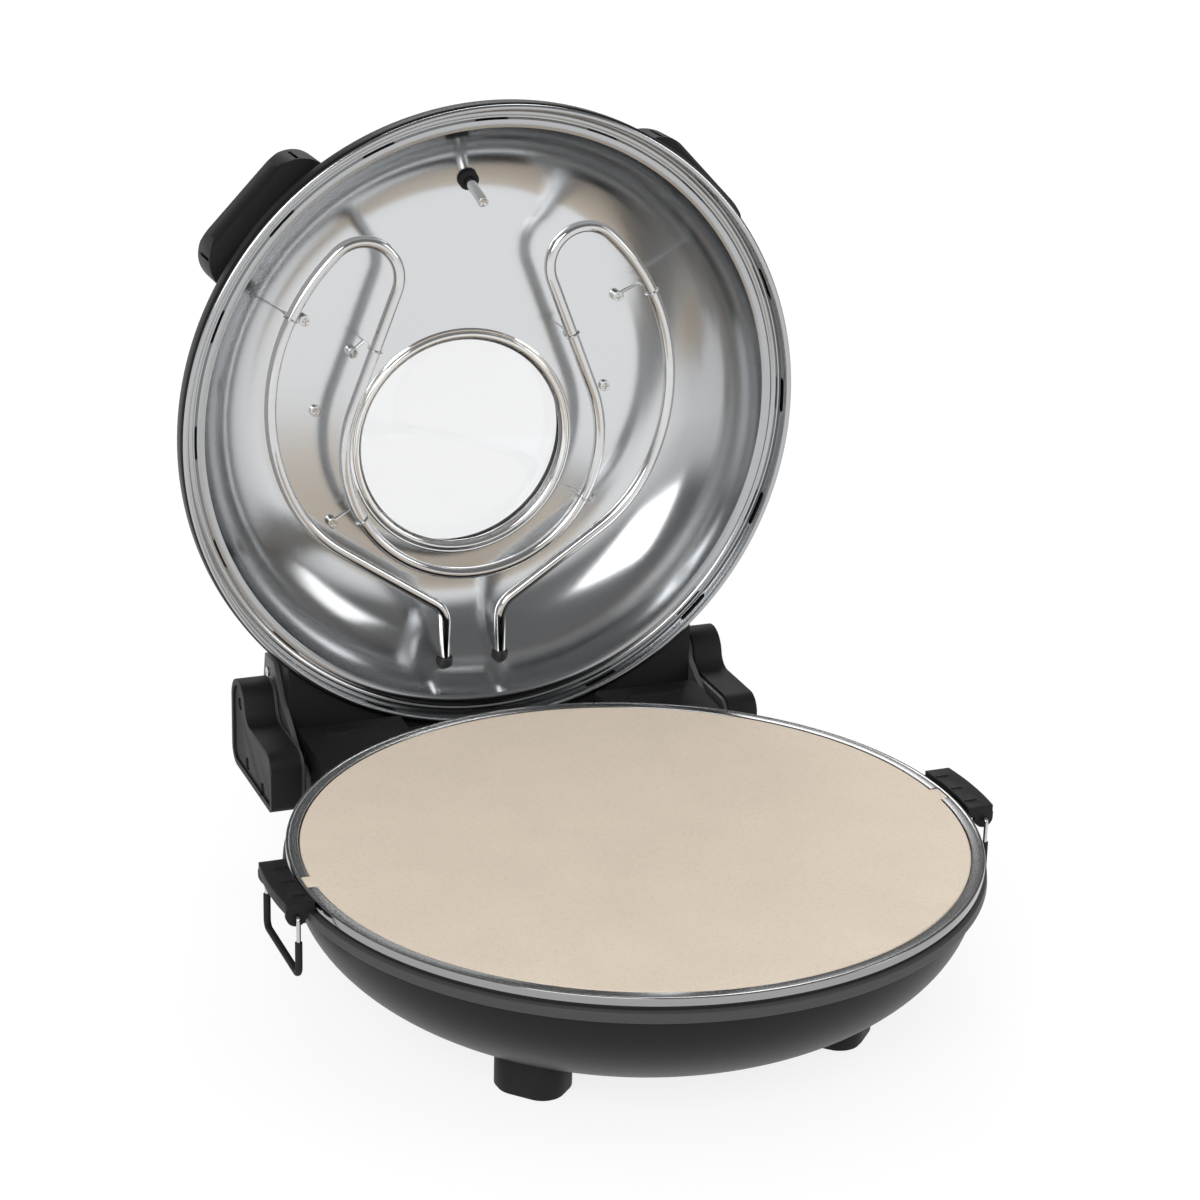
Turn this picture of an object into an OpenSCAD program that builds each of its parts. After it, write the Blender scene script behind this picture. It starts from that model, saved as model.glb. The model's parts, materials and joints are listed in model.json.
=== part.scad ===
// Electric pizza maker with a hinged lid, drawn with the lid open. Millimetres, +Z up, front towards -Y.
// Drawn about the round base's axis on the table plane, then moved forward by mid_y, so that the origin is
// the middle of the whole object's box on the table.

/* [Base] */
// Height of the steel rim above the table
rim_h = 86.7; // [84:0.1:100]
// Outer radius of the steel rim
rim_r = 174; // [160:1:190]
// Radius of the baking stone
stone_r = 167; // [150:1:170]
// Thickness of the baking stone
stone_t = 12; // [9:1:14]
// Width of the stone's two locating tabs
tab_w = 12; // [8:1:20]
// Drop of the rim's outer wall
rim_drop = 4.5; // [3:0.5:6]
// Height of the bowl below its band
bowl_h = 69; // [60:1:74]
// Radius of the bowl's flat bottom
bowl_flat_r = 66; // [50:1:80]
// Sheet thickness of the bowl
bowl_t = 1; // [0.8:0.1:2]
// Distance of the front feet from the middle
foot_reach = 110.6; // [95:0.1:120]
// Angle of the front feet from straight ahead
foot_a = 46.7; // [35:0.1:60]
// Distance of the rear feet from the middle
rear_reach = 116; // [100:1:122]
// Angle of the rear feet from straight behind
rear_a = 38; // [30:1:60]
// Width of a foot
foot_w = 37; // [30:0.5:44]
// Depth of a foot
foot_d = 29.4; // [26:0.2:36]
// Corner radius of a foot
foot_corner = 12.6; // [8:0.1:13]
// Thickness of the rubber under a foot
pad_t = 1.2; // [1:0.1:3]
// Radius of the lower heating tube's loop
low_heater_r = 105; // [90:1:120]

/* [Hinge] */
// Opening angle at which the lid is drawn
open_angle = 90.75; // [0:0.25:95]
// Distance of the hinge axis behind the middle
hinge_y = 180.3; // [178:0.1:190]
// Height of the hinge axis below the rim
hinge_drop = 29.7; // [28:0.1:32]
// Inner face of the hinge cheeks
cheek_in = 124; // [124:0.5:126]
// Outer face of the hinge cheeks
cheek_out = 141; // [138:0.5:146]
// Radius of the hinge pin
pin_r = 4; // [3:0.5:5]

/* [Lid] */
// Gap between the closed lid and the rim
lid_gap = 0.6; // [0.4:0.1:1.5]
// Depth of the flat panel in the lid
panel_d = 60; // [55:1:62]
// Radius of the lid's inner dome at its mouth
dome_r = 160; // [150:1:161]
// Depth of the flange behind the lid's edge
flange_d = 9.5; // [8:0.5:10]
// Height of the lid's outer shell
shell_d = 74; // [72:1:80]
// Distance of the window centre behind the lid centre
window_off = 27.4; // [20:0.1:30]
// Visible radius of the window
window_r = 58.9; // [50:0.1:60]
// Number of slots around the lid's skirt
slot_n = 16; // [8:1:24]
// Length of one slot
slot_l = 19.5; // [12:0.5:24]
// Radius of the heating tubes
tube_r = 3.3; // [2.5:0.1:4]
// Depth of the upper heating tube's centre line
heater_d = 39; // [34:1:44]
// Sideways distance of the upper tube's ends
end_x = 16.5; // [14:0.5:20]

/* [Clips] */
// Distance of the wire bail's axis from the middle
bail_x = 182.5; // [182:0.5:186]
// Half width of the bail between its legs
bail_w = 27.8; // [27.2:0.1:32]
// Length of the bail
bail_l = 29.7; // [26:0.1:34]
// Radius of the bail wire
wire_r = 1.1; // [0.9:0.1:1.5]
// Radius of the bail's sleeve
sleeve_r = 1.8; // [1.6:0.1:2.2]

/* [Hidden] */
$fn = 96;
mid_y = 66.02;
bowl_in = 3;
bowl_r0 = rim_r - bowl_in;
bowl_top = rim_h - 13;
bowl_exp = 0.6;
band_top = rim_h - 6.6;
fit = 0.05;
sheet = 0.8;
lip_z = band_top - fit - sheet;
hinge_z = rim_h - hinge_drop;
lid_z = rim_h + lid_gap;
dome_round = 52;
dome_c = dome_r - dome_round;
dome_cd = panel_d - dome_round;
shell_flat_r = 100;
shell_in = 4;
shell_r0 = rim_r - shell_in;
shell_band_d = 13;
low_heater_z = rim_h - 28;
pan_floor = rim_h - 40;
arm_in = 118;
arm_out = 121;
plate_in = 122;
seam = 0.4;
foot_screw_r = 2.1;
clip_screw_r = 1.6;
screw_r = 1.6;
foot_head_r = 4.4;

// Profile of the bowl, grown by g, from the flat bottom up to the band
function bowl_pts(g) = [for (i = [0 : 14]) let (t = cos(i * 90 / 14))
  [bowl_flat_r + (bowl_r0 - bowl_flat_r + g) * pow(1 - t * t, bowl_exp),
   bowl_top - bowl_h * t - g * t]];

// Profile of the lid's shell, grown by g, from the flat top down to the band, with depth as height
function shell_pts(g) = [for (i = [0 : 14]) let (t = cos(i * 90 / 14))
  [shell_flat_r + (shell_r0 - shell_flat_r + g) * pow(1 - t * t, bowl_exp),
   shell_band_d + (shell_d - shell_band_d + g) * t]];

// Profile of the reflector's round wall at a distance g outside it
function dome_pts(g) = [for (i = [0 : 12])
  let (a = 90 - i * (90 - asin((flange_d - dome_cd) / dome_round)) / 12)
  [dome_c + (dome_round + g) * cos(a), dome_cd + (dome_round + g) * sin(a)]];

module mirror_x() {
  children();
  mirror([1, 0, 0]) children();
}

// Flat ring
module ring(ro, ri, z0, z1) {
  rotate_extrude() translate([ri, z0]) square([ro - ri, z1 - z0]);
}

// Straight tube from p to q, a seam short at each end
module bar(p, q, r) {
  d = q - p;
  translate(p + d * seam / norm(d)) rotate([0, acos(d[2] / norm(d)), atan2(d[1], d[0])])
    cylinder(r = r, h = norm(d) - 2 * seam, $fn = 24);
}

// Part of a ring tube in the plane z = 0 about c, from angle a0 over da, a seam short at each end
module arc_tube(c, rr, a0, da, r) {
  cut = seam / rr * 180 / PI;
  translate([c[0], c[1], 0]) rotate([0, 0, a0 + cut])
    rotate_extrude(angle = da - 2 * cut, $fn = 64) translate([rr, 0]) circle(r = r, $fn = 24);
}

// Thin collar that joins two stretches of tube where the circle about c is at angle a
module collar(c, rr, a, r) {
  translate(on(c, rr, a)) rotate([0, 0, a + 90]) rotate([0, 90, 0])
    cylinder(r = r + 0.08, h = 6 * seam, center = true, $fn = 24);
}

// Places what is drawn on a closed lid as it stands at the opening angle
module lid_pose() {
  translate([0, hinge_y, hinge_z]) rotate([-open_angle, 0, 0]) translate([0, -hinge_y, -hinge_z]) children();
}

// Lid frame: x to the right, -y to the lid's front, z the depth behind its edge
module lid_frame() {
  lid_pose() translate([0, 0, lid_z]) children();
}

// Screw with a flat pan head, axis along +Z, head top at z = 0
module pan_screw(head_r, head_h, shank_r, length) {
  difference() {
    union() {
      translate([0, 0, -head_h]) cylinder(r = head_r, h = head_h, $fn = 32);
      translate([0, 0, -length]) cylinder(r = shank_r, h = length - head_h + 0.01, $fn = 32);
    }
    for (a = [0, 90]) rotate([0, 0, a])
      translate([-head_r * 0.6, -head_r * 0.13, -head_h * 0.5]) cube([head_r * 1.2, head_r * 0.26, head_h]);
  }
}

// ---------- base ----------

module bowl_envelope(g) {
  rotate_extrude() polygon(concat([[0, bowl_top - bowl_h - g]], bowl_pts(g),
    [[bowl_r0 + g, band_top], [0, band_top]]));
}

// Puts a foot at each of the four places, outwards being -Y
module foot_place() {
  for (s = [-1, 1], f = [[foot_a, foot_reach], [180 - rear_a, rear_reach]])
    rotate([0, 0, s * f[0]]) translate([0, -f[1], 0]) children();
}

// Outline of a foot, drawn smaller by i
module foot_shape(i) {
  w = foot_w / 2 - foot_corner;
  d = foot_d / 2 - foot_corner;
  for (x = [-w, w], y = [-d, d]) translate([x, y]) circle(r = foot_corner - i);
  square([2 * w, foot_d - 2 * i], center = true);
  square([foot_w - 2 * i, 2 * d], center = true);
}

module base_bowl() {
  color([0.07, 0.07, 0.07]) difference() {
    rotate_extrude() polygon(concat(
      [[0, bowl_top - bowl_h]], bowl_pts(0), [[bowl_r0, lip_z - fit], [bowl_r0 - bowl_t, lip_z - fit]],
      [for (i = [14 : -1 : 0]) bowl_pts(-bowl_t)[i]], [[0, bowl_top - bowl_h + bowl_t]]));
    foot_place() cylinder(r = foot_screw_r + 0.1, h = 40);
    mirror_x() clip_screw_holes();
    translate([0, 150, rim_h - 50]) rotate([-90, 0, 0]) cylinder(r = 7, h = 40, center = true);
    for (i = [-4 : 4]) translate([i * 9 - 1.5, -30, 0]) cube([3, 22, 30]);
  }
}

module bowl_band() {
  r_in = bowl_r0 + fit;
  color([0.12, 0.12, 0.12]) difference() {
    rotate_extrude() polygon([
      [r_in, band_top - 1.3], [r_in, band_top], [rim_r - 0.8, band_top], [rim_r + 1.2, band_top - 0.9],
      [rim_r + 1.6, band_top - 5.2], [rim_r + 0.6, band_top - 6.1], [r_in, band_top - 6.1],
      [r_in, band_top - 5], [rim_r, band_top - 4.8], [rim_r + 0.2, band_top - 1.6],
      [rim_r - 1, band_top - 1.1], [r_in + 1.1, band_top - 1.1]]);
    mirror_x() clip_screw_holes();
  }
}

module rim_seal() {
  color([0.02, 0.02, 0.02]) ring(rim_r - 1.4, stone_r + 1.9, band_top + fit, rim_h - rim_drop - fit);
}

// Notch shape of the stone's tabs, grown by g
module tab_shape(g) {
  for (a = [-3, 177]) rotate([0, 0, a]) translate([stone_r - 3, 0]) polygon([
    [0, -tab_w / 2 - 4 - g], [3, -tab_w / 2 - 3 - g], [4 + g, -tab_w / 2 - g], [4 + g, tab_w / 2 + g],
    [3, tab_w / 2 + 3 + g], [0, tab_w / 2 + 4 + g]]);
}

module rim_ring() {
  r_in = stone_r + 0.6;
  foot_z = rim_h - rim_drop;
  color([0.62, 0.62, 0.62]) difference() {
    rotate_extrude() polygon([
      [r_in, foot_z], [r_in, rim_h - 0.5], [r_in + 0.5, rim_h - 0.2], [rim_r - 1.6, rim_h - 0.2],
      [rim_r - 0.5, rim_h], [rim_r, rim_h - 0.5], [rim_r, foot_z], [rim_r - 2.4, foot_z],
      [rim_r - 2.4, foot_z + sheet], [rim_r - sheet, foot_z + sheet], [rim_r - sheet, rim_h - 1.2],
      [r_in + sheet, rim_h - 1.2], [r_in + sheet, foot_z + sheet], [r_in + 2.2, foot_z + sheet],
      [r_in + 2.2, foot_z]]);
    translate([0, 0, rim_h - 10]) linear_extrude(20) tab_shape(0.5);
  }
}

module bracket_place() {
  for (a = [30, 150, 270]) rotate([0, 0, a]) children();
}

module heater_pan() {
  seat = rim_h - stone_t - 0.4;
  r = stone_r + 1.3;
  color([0.5, 0.5, 0.5]) difference() {
    rotate_extrude() polygon([
      [bowl_r0, lip_z + sheet], [bowl_r0, lip_z], [r, lip_z], [r, seat - sheet], [stone_r - 16, seat - sheet],
      [stone_r - 25, pan_floor + 4], [stone_r - 31, pan_floor], [0, pan_floor], [0, pan_floor + sheet],
      [stone_r - 31.4, pan_floor + sheet], [stone_r - 25.8, pan_floor + 4.5], [stone_r - 16.6, seat],
      [r - sheet, seat],
      [r - sheet, lip_z + sheet]]);
    for (s = [-1, 1]) translate([s * low_end_x, low_end_y, pan_floor - 2]) cylinder(r = 4.6, h = 6);
    bracket_place() translate([low_heater_r + 11, 0, pan_floor - 2]) cylinder(r = screw_r, h = 6);
  }
}

module baking_stone() {
  color([0.87, 0.79, 0.68]) {
    difference() {
      translate([0, 0, rim_h - 0.3 - stone_t]) rotate_extrude() polygon([[0, 0], [stone_r - 1.5, 0],
        [stone_r - 0.7, 0.8], [stone_r, stone_t - 0.6], [stone_r - 0.6, stone_t], [0, stone_t]]);
      translate([0, 0, rim_h - 4]) linear_extrude(8) difference() {
        tab_shape(0);
        circle(r = stone_r - 2);
      }
    }
    translate([0, 0, rim_h - 3.8]) linear_extrude(3.5) difference() {
      tab_shape(0);
      circle(r = stone_r - 2);
    }
  }
}

// Places of the lower tube's ends
low_end_x = 14;
low_end_y = sqrt(low_heater_r * low_heater_r - low_end_x * low_end_x);

module lower_heater() {
  gap_a = asin(low_end_x / low_heater_r);
  color([0.35, 0.34, 0.33]) {
    translate([0, 0, low_heater_z]) arc_tube([0, 0], low_heater_r, 90 + gap_a, 360 - 2 * gap_a, tube_r);
    for (s = [-1, 1]) translate([s * low_end_x, low_end_y, pan_floor - 7])
      cylinder(r = tube_r, h = low_heater_z - pan_floor + 7 + tube_r * 0.9);
  }
}

module lower_heater_brackets() {
  color([0.55, 0.55, 0.55]) bracket_place() difference() {
    translate([low_heater_r - 7, -5, pan_floor + sheet + 0.05]) union() {
      cube([22, 10, 1]);
      cube([1.2, 10, low_heater_z - pan_floor + 4]);
      translate([12.8, 0, 0]) cube([1.2, 10, low_heater_z - pan_floor + 4]);
      translate([0, 0, low_heater_z - pan_floor - sheet + tube_r + 0.1]) cube([14, 10, 1]);
    }
    translate([low_heater_r + 11, 0, pan_floor]) cylinder(r = screw_r, h = 6);
  }
}

module lower_heater_bushings() {
  color([0.9, 0.88, 0.82]) for (s = [-1, 1]) translate([s * low_end_x, low_end_y, pan_floor]) {
    ring(4.5, tube_r + fit, -5, sheet + 0.1);
    ring(6.2, tube_r + fit, sheet + 0.05, sheet + 2.5);
  }
}

module lower_terminals() {
  color([0.75, 0.75, 0.75]) for (s = [-1, 1]) translate([s * low_end_x, low_end_y, pan_floor - 16])
    cylinder(r = 1.5, h = 8.95);
}

module feet() {
  color([0.04, 0.04, 0.04]) difference() {
    foot_place() difference() {
      union() {
        translate([0, 0, pad_t]) linear_extrude(2) foot_shape(0.5);
        translate([0, 0, pad_t + 0.6]) linear_extrude(22) foot_shape(0);
      }
      translate([0, 0, -1]) cylinder(r = foot_screw_r + 0.1, h = 40);
      translate([0, 0, -1]) cylinder(r = foot_head_r + 0.4, h = 5.6);
    }
    bowl_envelope(0.1);
  }
}

module foot_pads() {
  color([0.02, 0.02, 0.02]) foot_place() linear_extrude(pad_t - 0.05) difference() {
    foot_shape(1.4);
    circle(r = foot_head_r + 1.2);
  }
}

module foot_screws() {
  color([0.6, 0.6, 0.6]) foot_place() translate([0, 0, 2.2]) mirror([0, 0, 1])
    pan_screw(foot_head_r, 2.3, foot_screw_r, 17);
}

// ---------- side clips ----------

module clip_screw_place() {
  for (s = [-1, 1]) translate([rim_r, s * 9, rim_h - 9.5]) children();
}

module clip_screw_holes() {
  clip_screw_place() rotate([0, 90, 0]) cylinder(r = clip_screw_r + 0.1, h = 30, center = true);
}

// Right-hand clip plate; the left one is its mirror image
module clip_plate() {
  plate_top = rim_h + 1.3;
  plate_bot = rim_h - 4.3;
  difference() {
    union() {
      intersection() {
        ring(rim_r + 15, rim_r + 1.4, plate_bot, plate_top);
        translate([rim_r - 4, -25, 0]) cube([22, 50, 200]);
      }
      for (s = [-1, 1]) translate([0, s * 25 - (s > 0 ? 2.8 : 0), rim_h - 5.3]) {
        translate([bail_x, 0, 0]) rotate([-90, 0, 0]) cylinder(r = 5.2, h = 2.8);
        translate([bail_x - 5.2, 0, 0]) cube([10.4, 2.8, 3]);
      }
      for (y = [-16, 0, 16]) intersection() {
        ring(rim_r + 14, rim_r + 2.2, plate_top - 0.01, plate_top + 0.5);
        translate([rim_r - 2, y - 0.6, 0]) cube([10, 1.2, 200]);
      }
      intersection() {
        ring(rim_r + 4.6, rim_r + 1.9, rim_h - 14.5, plate_bot + 0.01);
        translate([rim_r - 14, -15, 0]) cube([40, 30, 200]);
      }
    }
    for (s = [-1, 1]) translate([bail_x, s * 30, rim_h - 5.3]) rotate([s * 90, 0, 0])
      translate([0, 0, -1]) cylinder(r = wire_r + fit, h = 14);
    clip_screw_holes();
  }
}

module clip_plate_left() {
  color([0.05, 0.05, 0.05]) mirror([1, 0, 0]) clip_plate();
}

module clip_plate_right() {
  color([0.05, 0.05, 0.05]) clip_plate();
}

module clip_screws() {
  color([0.6, 0.6, 0.6]) mirror_x() clip_screw_place() translate([6.2, 0, 0]) rotate([0, 90, 0])
    pan_screw(2.6, 1.5, clip_screw_r, 11.2);
}

// Right-hand bail, hanging
module bail(r, leg_top, tail) {
  bend = 4;
  low = rim_h - 5.3 - bail_l;
  for (s = [-1, 1]) translate([bail_x, 0, 0]) {
    translate([0, s * bail_w, low + bend]) cylinder(r = r, h = leg_top - low - bend, $fn = 24);
    translate([0, s * (bail_w - bend), low + bend]) rotate([0, 90, 0]) rotate([0, 0, s > 0 ? 0 : -90])
      rotate_extrude(angle = 90) translate([bend, 0]) circle(r = r, $fn = 24);
    if (tail > 0) {
      translate([0, s * bail_w, rim_h - 5.3]) sphere(r = r, $fn = 24);
      translate([0, s * bail_w, rim_h - 5.3]) rotate([s * 90, 0, 0]) cylinder(r = r, h = tail, $fn = 24);
    }
  }
  translate([bail_x, bend - bail_w, low]) rotate([-90, 0, 0])
    cylinder(r = r, h = 2 * (bail_w - bend), $fn = 24);
}

module bail_sleeve() {
  difference() {
    bail(sleeve_r, rim_h - 17.6, 0);
    bail(wire_r + 0.02, rim_h - 10, 0);
  }
}

module bail_wire_left() {
  color([0.8, 0.8, 0.8]) mirror([1, 0, 0]) bail(wire_r, rim_h - 5.3, 7.4);
}

module bail_wire_right() {
  color([0.8, 0.8, 0.8]) bail(wire_r, rim_h - 5.3, 7.4);
}

module bail_sleeve_left() {
  color([0.05, 0.05, 0.05]) mirror([1, 0, 0]) bail_sleeve();
}

module bail_sleeve_right() {
  color([0.05, 0.05, 0.05]) bail_sleeve();
}

// ---------- hinge, base side ----------

// Side view of a cheek, drawn inset by i, in y and z relative to the rim
module cheek_shape(i) {
  difference() {
    union() {
      translate([234, -4]) circle(r = 14 - i);
      translate([178, -19]) circle(r = 10 - i);
      translate([172, -38]) circle(r = 4 - min(i, 3));
      translate([238, -32]) circle(r = 10 - i);
      translate([178, -41 + i - 1]) square([60, 33 - 2 * i]);
      translate([168 + i, -38]) square([12, 19]);
      translate([172, -42 + i]) square([8, 20]);
      translate([200, -32]) square([48 - i, 28]);
      polygon([[208, -11], [248 - i, -11], [248 - i, -4], [234, -4], [220.3 + i, -1.08], [208, -1.08]]);
    }
    translate([210.5, 1]) circle(r = 10 + i);
    translate([190, -9 + (i > 0 ? -i : 0)]) square([20.5, 12]);
  }
}

// Turns a drawing in y and z relative to the rim into a plate from x0 to x1
module side_plate(x0, x1) {
  translate([0, 0, rim_h]) rotate([90, 0, 90]) translate([0, 0, x0]) linear_extrude(x1 - x0) children();
}

// Screw positions on a cheek, in y and z relative to the rim
cheek_holes = [[234, -4], [220, -34], [189, -36]];

module cheek() {
  difference() {
    side_plate(cheek_in + 0.1, cheek_out) cheek_shape(0);
    side_plate(cheek_in - 1, cheek_out - 4.6) difference() {
      cheek_shape(2.4);
      for (p = cheek_holes) translate(p) circle(r = 4.6);
    }
    side_plate(cheek_out - 1.2, cheek_out + 1) cheek_shape(3.4);
    for (p = cheek_holes) {
      side_plate(cheek_in - 1, cheek_out) translate(p) circle(r = 2);
      side_plate(cheek_out - 4, cheek_out + 1) translate(p) circle(r = 3.6);
    }
  }
}

module hinge_cheek_left() {
  color([0.09, 0.09, 0.09]) mirror([1, 0, 0]) cheek();
}

module hinge_cheek_right() {
  color([0.09, 0.09, 0.09]) cheek();
}

module cheek_screws() {
  color([0.3, 0.3, 0.3]) mirror_x() for (p = cheek_holes)
    translate([cheek_out - 2.2, p[0], rim_h + p[1]]) rotate([0, 90, 0]) pan_screw(3.2, 1.7, 1.9, 14.5);
}

module hinge_yoke() {
  color([0.25, 0.25, 0.25]) {
    mirror_x() difference() {
      side_plate(plate_in, cheek_in) cheek_shape(1.6);
      side_plate(plate_in - 1, cheek_in + 1) {
        for (p = cheek_holes) translate(p) circle(r = 1.95);
        translate([hinge_y, -hinge_drop]) circle(r = pin_r + 0.02);
      }
    }
    difference() {
      translate([-plate_in - 0.5, 172, rim_h - 42]) cube([2 * plate_in + 1, 66, 2.2]);
      bowl_envelope(0.3);
    }
  }
}

module hinge_pins() {
  color([0.7, 0.7, 0.7]) mirror_x() translate([112, hinge_y, hinge_z]) rotate([0, 90, 0]) {
    cylinder(r = pin_r, h = 17);
    translate([0, 0, 13]) cylinder(r = pin_r + 1.5, h = 2.5);
  }
}

// Sloped cover between the cheeks
module hinge_cover() {
  w = 116.5;
  // Half width of the lower middle, where the lid's edge swings past
  low_w = 58;
  wall = 2.5;
  color([0.08, 0.08, 0.08]) difference() {
    union() {
      side_plate(-w, w) polygon([[100, -39.6], [100, -19.5], [163, -20], [204, -17], [206, -19], [206, -39.6]]);
      mirror_x() side_plate(low_w, w)
        polygon([[100, -39.6], [100, -11.5], [163, -11], [203, -9], [206, -11.5], [206, -39.6]]);
      for (s = [-1, 1]) translate([s * 88, 191, rim_h - 9.8]) rotate([2.9, 0, 0]) intersection() {
        translate([-16, -2.5, 0]) cube([32, 5, 1.3]);
        translate([0, 0, -3.4]) rotate([0, 90, 0]) cylinder(r = 4.6, h = 40, center = true);
      }
    }
    side_plate(wall - w, w - wall)
      polygon([[90, -45], [90, -22.4], [163, -22.5], [202, -19.8], [203.5, -21], [203.5, -45]]);
    mirror_x() side_plate(low_w + wall, w - wall)
      polygon([[90, -45], [90, -14.2], [163, -13.6], [202, -11.6], [203.5, -13], [203.5, -45]]);
    translate([0, 0, rim_h - 60]) cylinder(r = rim_r + 2.4, h = 80);
    for (s = [-1, 1]) translate([s * (w - 3), hinge_y, hinge_z]) rotate([0, 90, 0])
      cylinder(r = pin_r + 0.05, h = 12, center = true);
    mirror_x() translate([w - 22, 90, rim_h - 60]) rotate([0, 0, 40])
      translate([0, -60, 0]) cube([80, 60, 80]);
  }
}

module cable_box() {
  color([0.06, 0.06, 0.06]) difference() {
    translate([-55, 120, rim_h - 70]) cube([110, 88, 27.6]);
    translate([-52.5, 110, rim_h - 67.5]) cube([105, 95.5, 26.5]);
    bowl_envelope(0.3);
    translate([30, 204, rim_h - 57]) rotate([-90, 0, 0]) cylinder(r = 6.1, h = 10);
    for (i = [-3 : 3]) translate([i * 8 - 20, 204, rim_h - 62]) cube([3, 6, 12]);
  }
}

module cable_gland() {
  color([0.03, 0.03, 0.03]) translate([30, 205.4, rim_h - 57]) rotate([-90, 0, 0]) {
    ring(6, 3.6, -0.1, 4);
    ring(8.5, 3.6, 2.7, 7);
    ring(8.5, 3.6, -2, -0.05);
  }
}

module terminal_block() {
  color([0.85, 0.85, 0.8]) difference() {
    translate([-30, 182, rim_h - 67.4]) cube([36, 14, 14]);
    for (i = [0 : 2]) translate([-24 + i * 12, 189, rim_h - 58]) cylinder(r = 2.6, h = 8);
    for (i = [0 : 2]) translate([-24 + i * 12, 180, rim_h - 60]) rotate([-90, 0, 0]) cylinder(r = 2, h = 20);
  }
}

// ---------- lid ----------

module shell_envelope(g) {
  rotate_extrude() polygon(concat([[0, shell_d + g]], shell_pts(g),
    [[shell_r0 + 0.5 + g, shell_band_d], [rim_r - 1 + g, 12], [rim_r + 0.8 + g, 10], [rim_r + 0.8 + g, 3],
     [rim_r + g, 1.6], [rim_r + g, -5], [0, -5]]));
}

// Window holes and walls are round about this axis
module window_place() {
  translate([0, window_off, 0]) children();
}

// Frame at the foot of the right-hand handle: x along it, -y outwards
handle_a = 46.5;
handle_screw_r = 1.75;
module handle_place() {
  rotate([0, 0, handle_a]) translate([0, 7 - shell_r0, 0]) children();
}

module handle_screw_place() {
  for (s = [-1, 1]) handle_place() translate([s * 22, 0, 38]) children();
}

module lid_shell() {
  w = 1;
  color([0.06, 0.06, 0.06]) lid_frame() difference() {
    rotate_extrude() polygon(concat(
      [[0, shell_d]], shell_pts(0),
      [[shell_r0 + 0.5, shell_band_d], [rim_r - 1, 12], [rim_r + 0.8, 10], [rim_r + 0.8, 3], [rim_r, 1.6],
       [rim_r - 0.9, 1.6], [rim_r - 0.2, 3.2], [rim_r - 0.2, 9.6], [rim_r - 1.8, 11.2],
       [shell_r0 - 0.5, 12.2]],
      [for (i = [14 : -1 : 0]) shell_pts(-w)[i]], [[0, shell_d - w]]));
    window_place() cylinder(r = 62.8, h = 200);
    mirror_x() handle_screw_place() rotate([90, 0, 0])
      cylinder(r = handle_screw_r + 0.25, h = 16, center = true);
    translate([0, -129, 60]) cylinder(r = 6, h = 20);
  }
}

module lid_reflector() {
  g = sheet;
  color([0.75, 0.75, 0.75]) lid_frame() difference() {
    rotate_extrude() polygon(concat(
      [[0, panel_d]], dome_pts(0),
      [for (p = [[11.8, 8.6], [9.6, 8.3], [8.4, 9.4], [7, 8.7], [5.4, 8.6], [4.4, 9.8], [3.4, 9.8],
        [3.4, 1.2], [2.8, 0.3], [1.6, 0], [0.6, 0.2], [0.2, 0.8], [0.2, 1.5], [0.9, 1.5], [1.8, 0.8],
        [2.6, 1.6], [2.6, 10.6], [4.8, 10.6], [5.8, 9.4], [6.8, 9.5], [8.4, 10.3], [9.8, 9.2],
        [11.6, 9.5]]) [rim_r - p[0], p[1]]],
      [for (i = [12 : -1 : 0]) dome_pts(g)[i]], [[0, panel_d + g]]));
    for (i = [0 : slot_n - 1]) rotate([0, 0, i * 360 / slot_n]) translate([rim_r - 14, -slot_l / 2, 3.4])
      cube([14, slot_l, 4.4]);
    window_place() translate([0, 0, 30]) cylinder(r = window_r, h = 60);
    for (s = [-1, 1]) translate([s * end_x, 130, heater_d]) rotate([-90, 0, 0]) cylinder(r = 4.6, h = 30);
    probe_place() cylinder(r = 4.2, h = 20, center = true);
    for (p = concat(clip_screws_xy, [[85, 2]])) for (s = [-1, 1])
      translate([s * p[0], p[1], 50]) cylinder(r = screw_r + 0.1, h = 20);
  }
}

module window_frame() {
  r = window_r;
  color([0.85, 0.85, 0.85]) lid_frame() window_place() rotate_extrude() polygon([
    [r + 6.4, panel_d - 0.05], [r + 6.1, panel_d - 1], [r + 4.9, panel_d - 1.9], [r + 3, panel_d - 2.1],
    [r + 1.4, panel_d - 1.7], [r + 0.2, panel_d - 0.6], [r - 0.5, panel_d + 0.6], [r - 0.5, panel_d + 1.2],
    [r - 0.1, panel_d + 1.2], [r - 0.1, panel_d - 0.05]]);
}

module window_gasket() {
  color([0.05, 0.05, 0.05]) lid_frame() window_place() {
    ring(window_r + 2.9, window_r - 0.2, panel_d + sheet + 0.45, panel_d + sheet + 1.2);
    ring(64.8, 62.9, shell_d + 0.05, shell_d + 0.8);
  }
}

module window_glass_inner() {
  color([0.85, 0.9, 0.9, 0.4]) lid_frame() window_place() translate([0, 0, panel_d + sheet + 1.25])
    cylinder(r = window_r + 2.6, h = 3.2);
}

module window_tube() {
  r = window_r + 3.5;
  color([0.7, 0.7, 0.7]) lid_frame() window_place() rotate_extrude() polygon([
    [r + 4, panel_d + sheet + 0.05], [r - 0.4, panel_d + sheet + 0.05], [r - 0.4, shell_d - 0.2],
    [r, shell_d - 0.2], [r, panel_d + sheet + 0.6], [r + 4, panel_d + sheet + 0.6]]);
}

module window_glass_outer() {
  color([0.85, 0.9, 0.9, 0.4]) lid_frame() window_place() translate([0, 0, shell_d + 0.85])
    cylinder(r = 66, h = 3);
}

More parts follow.
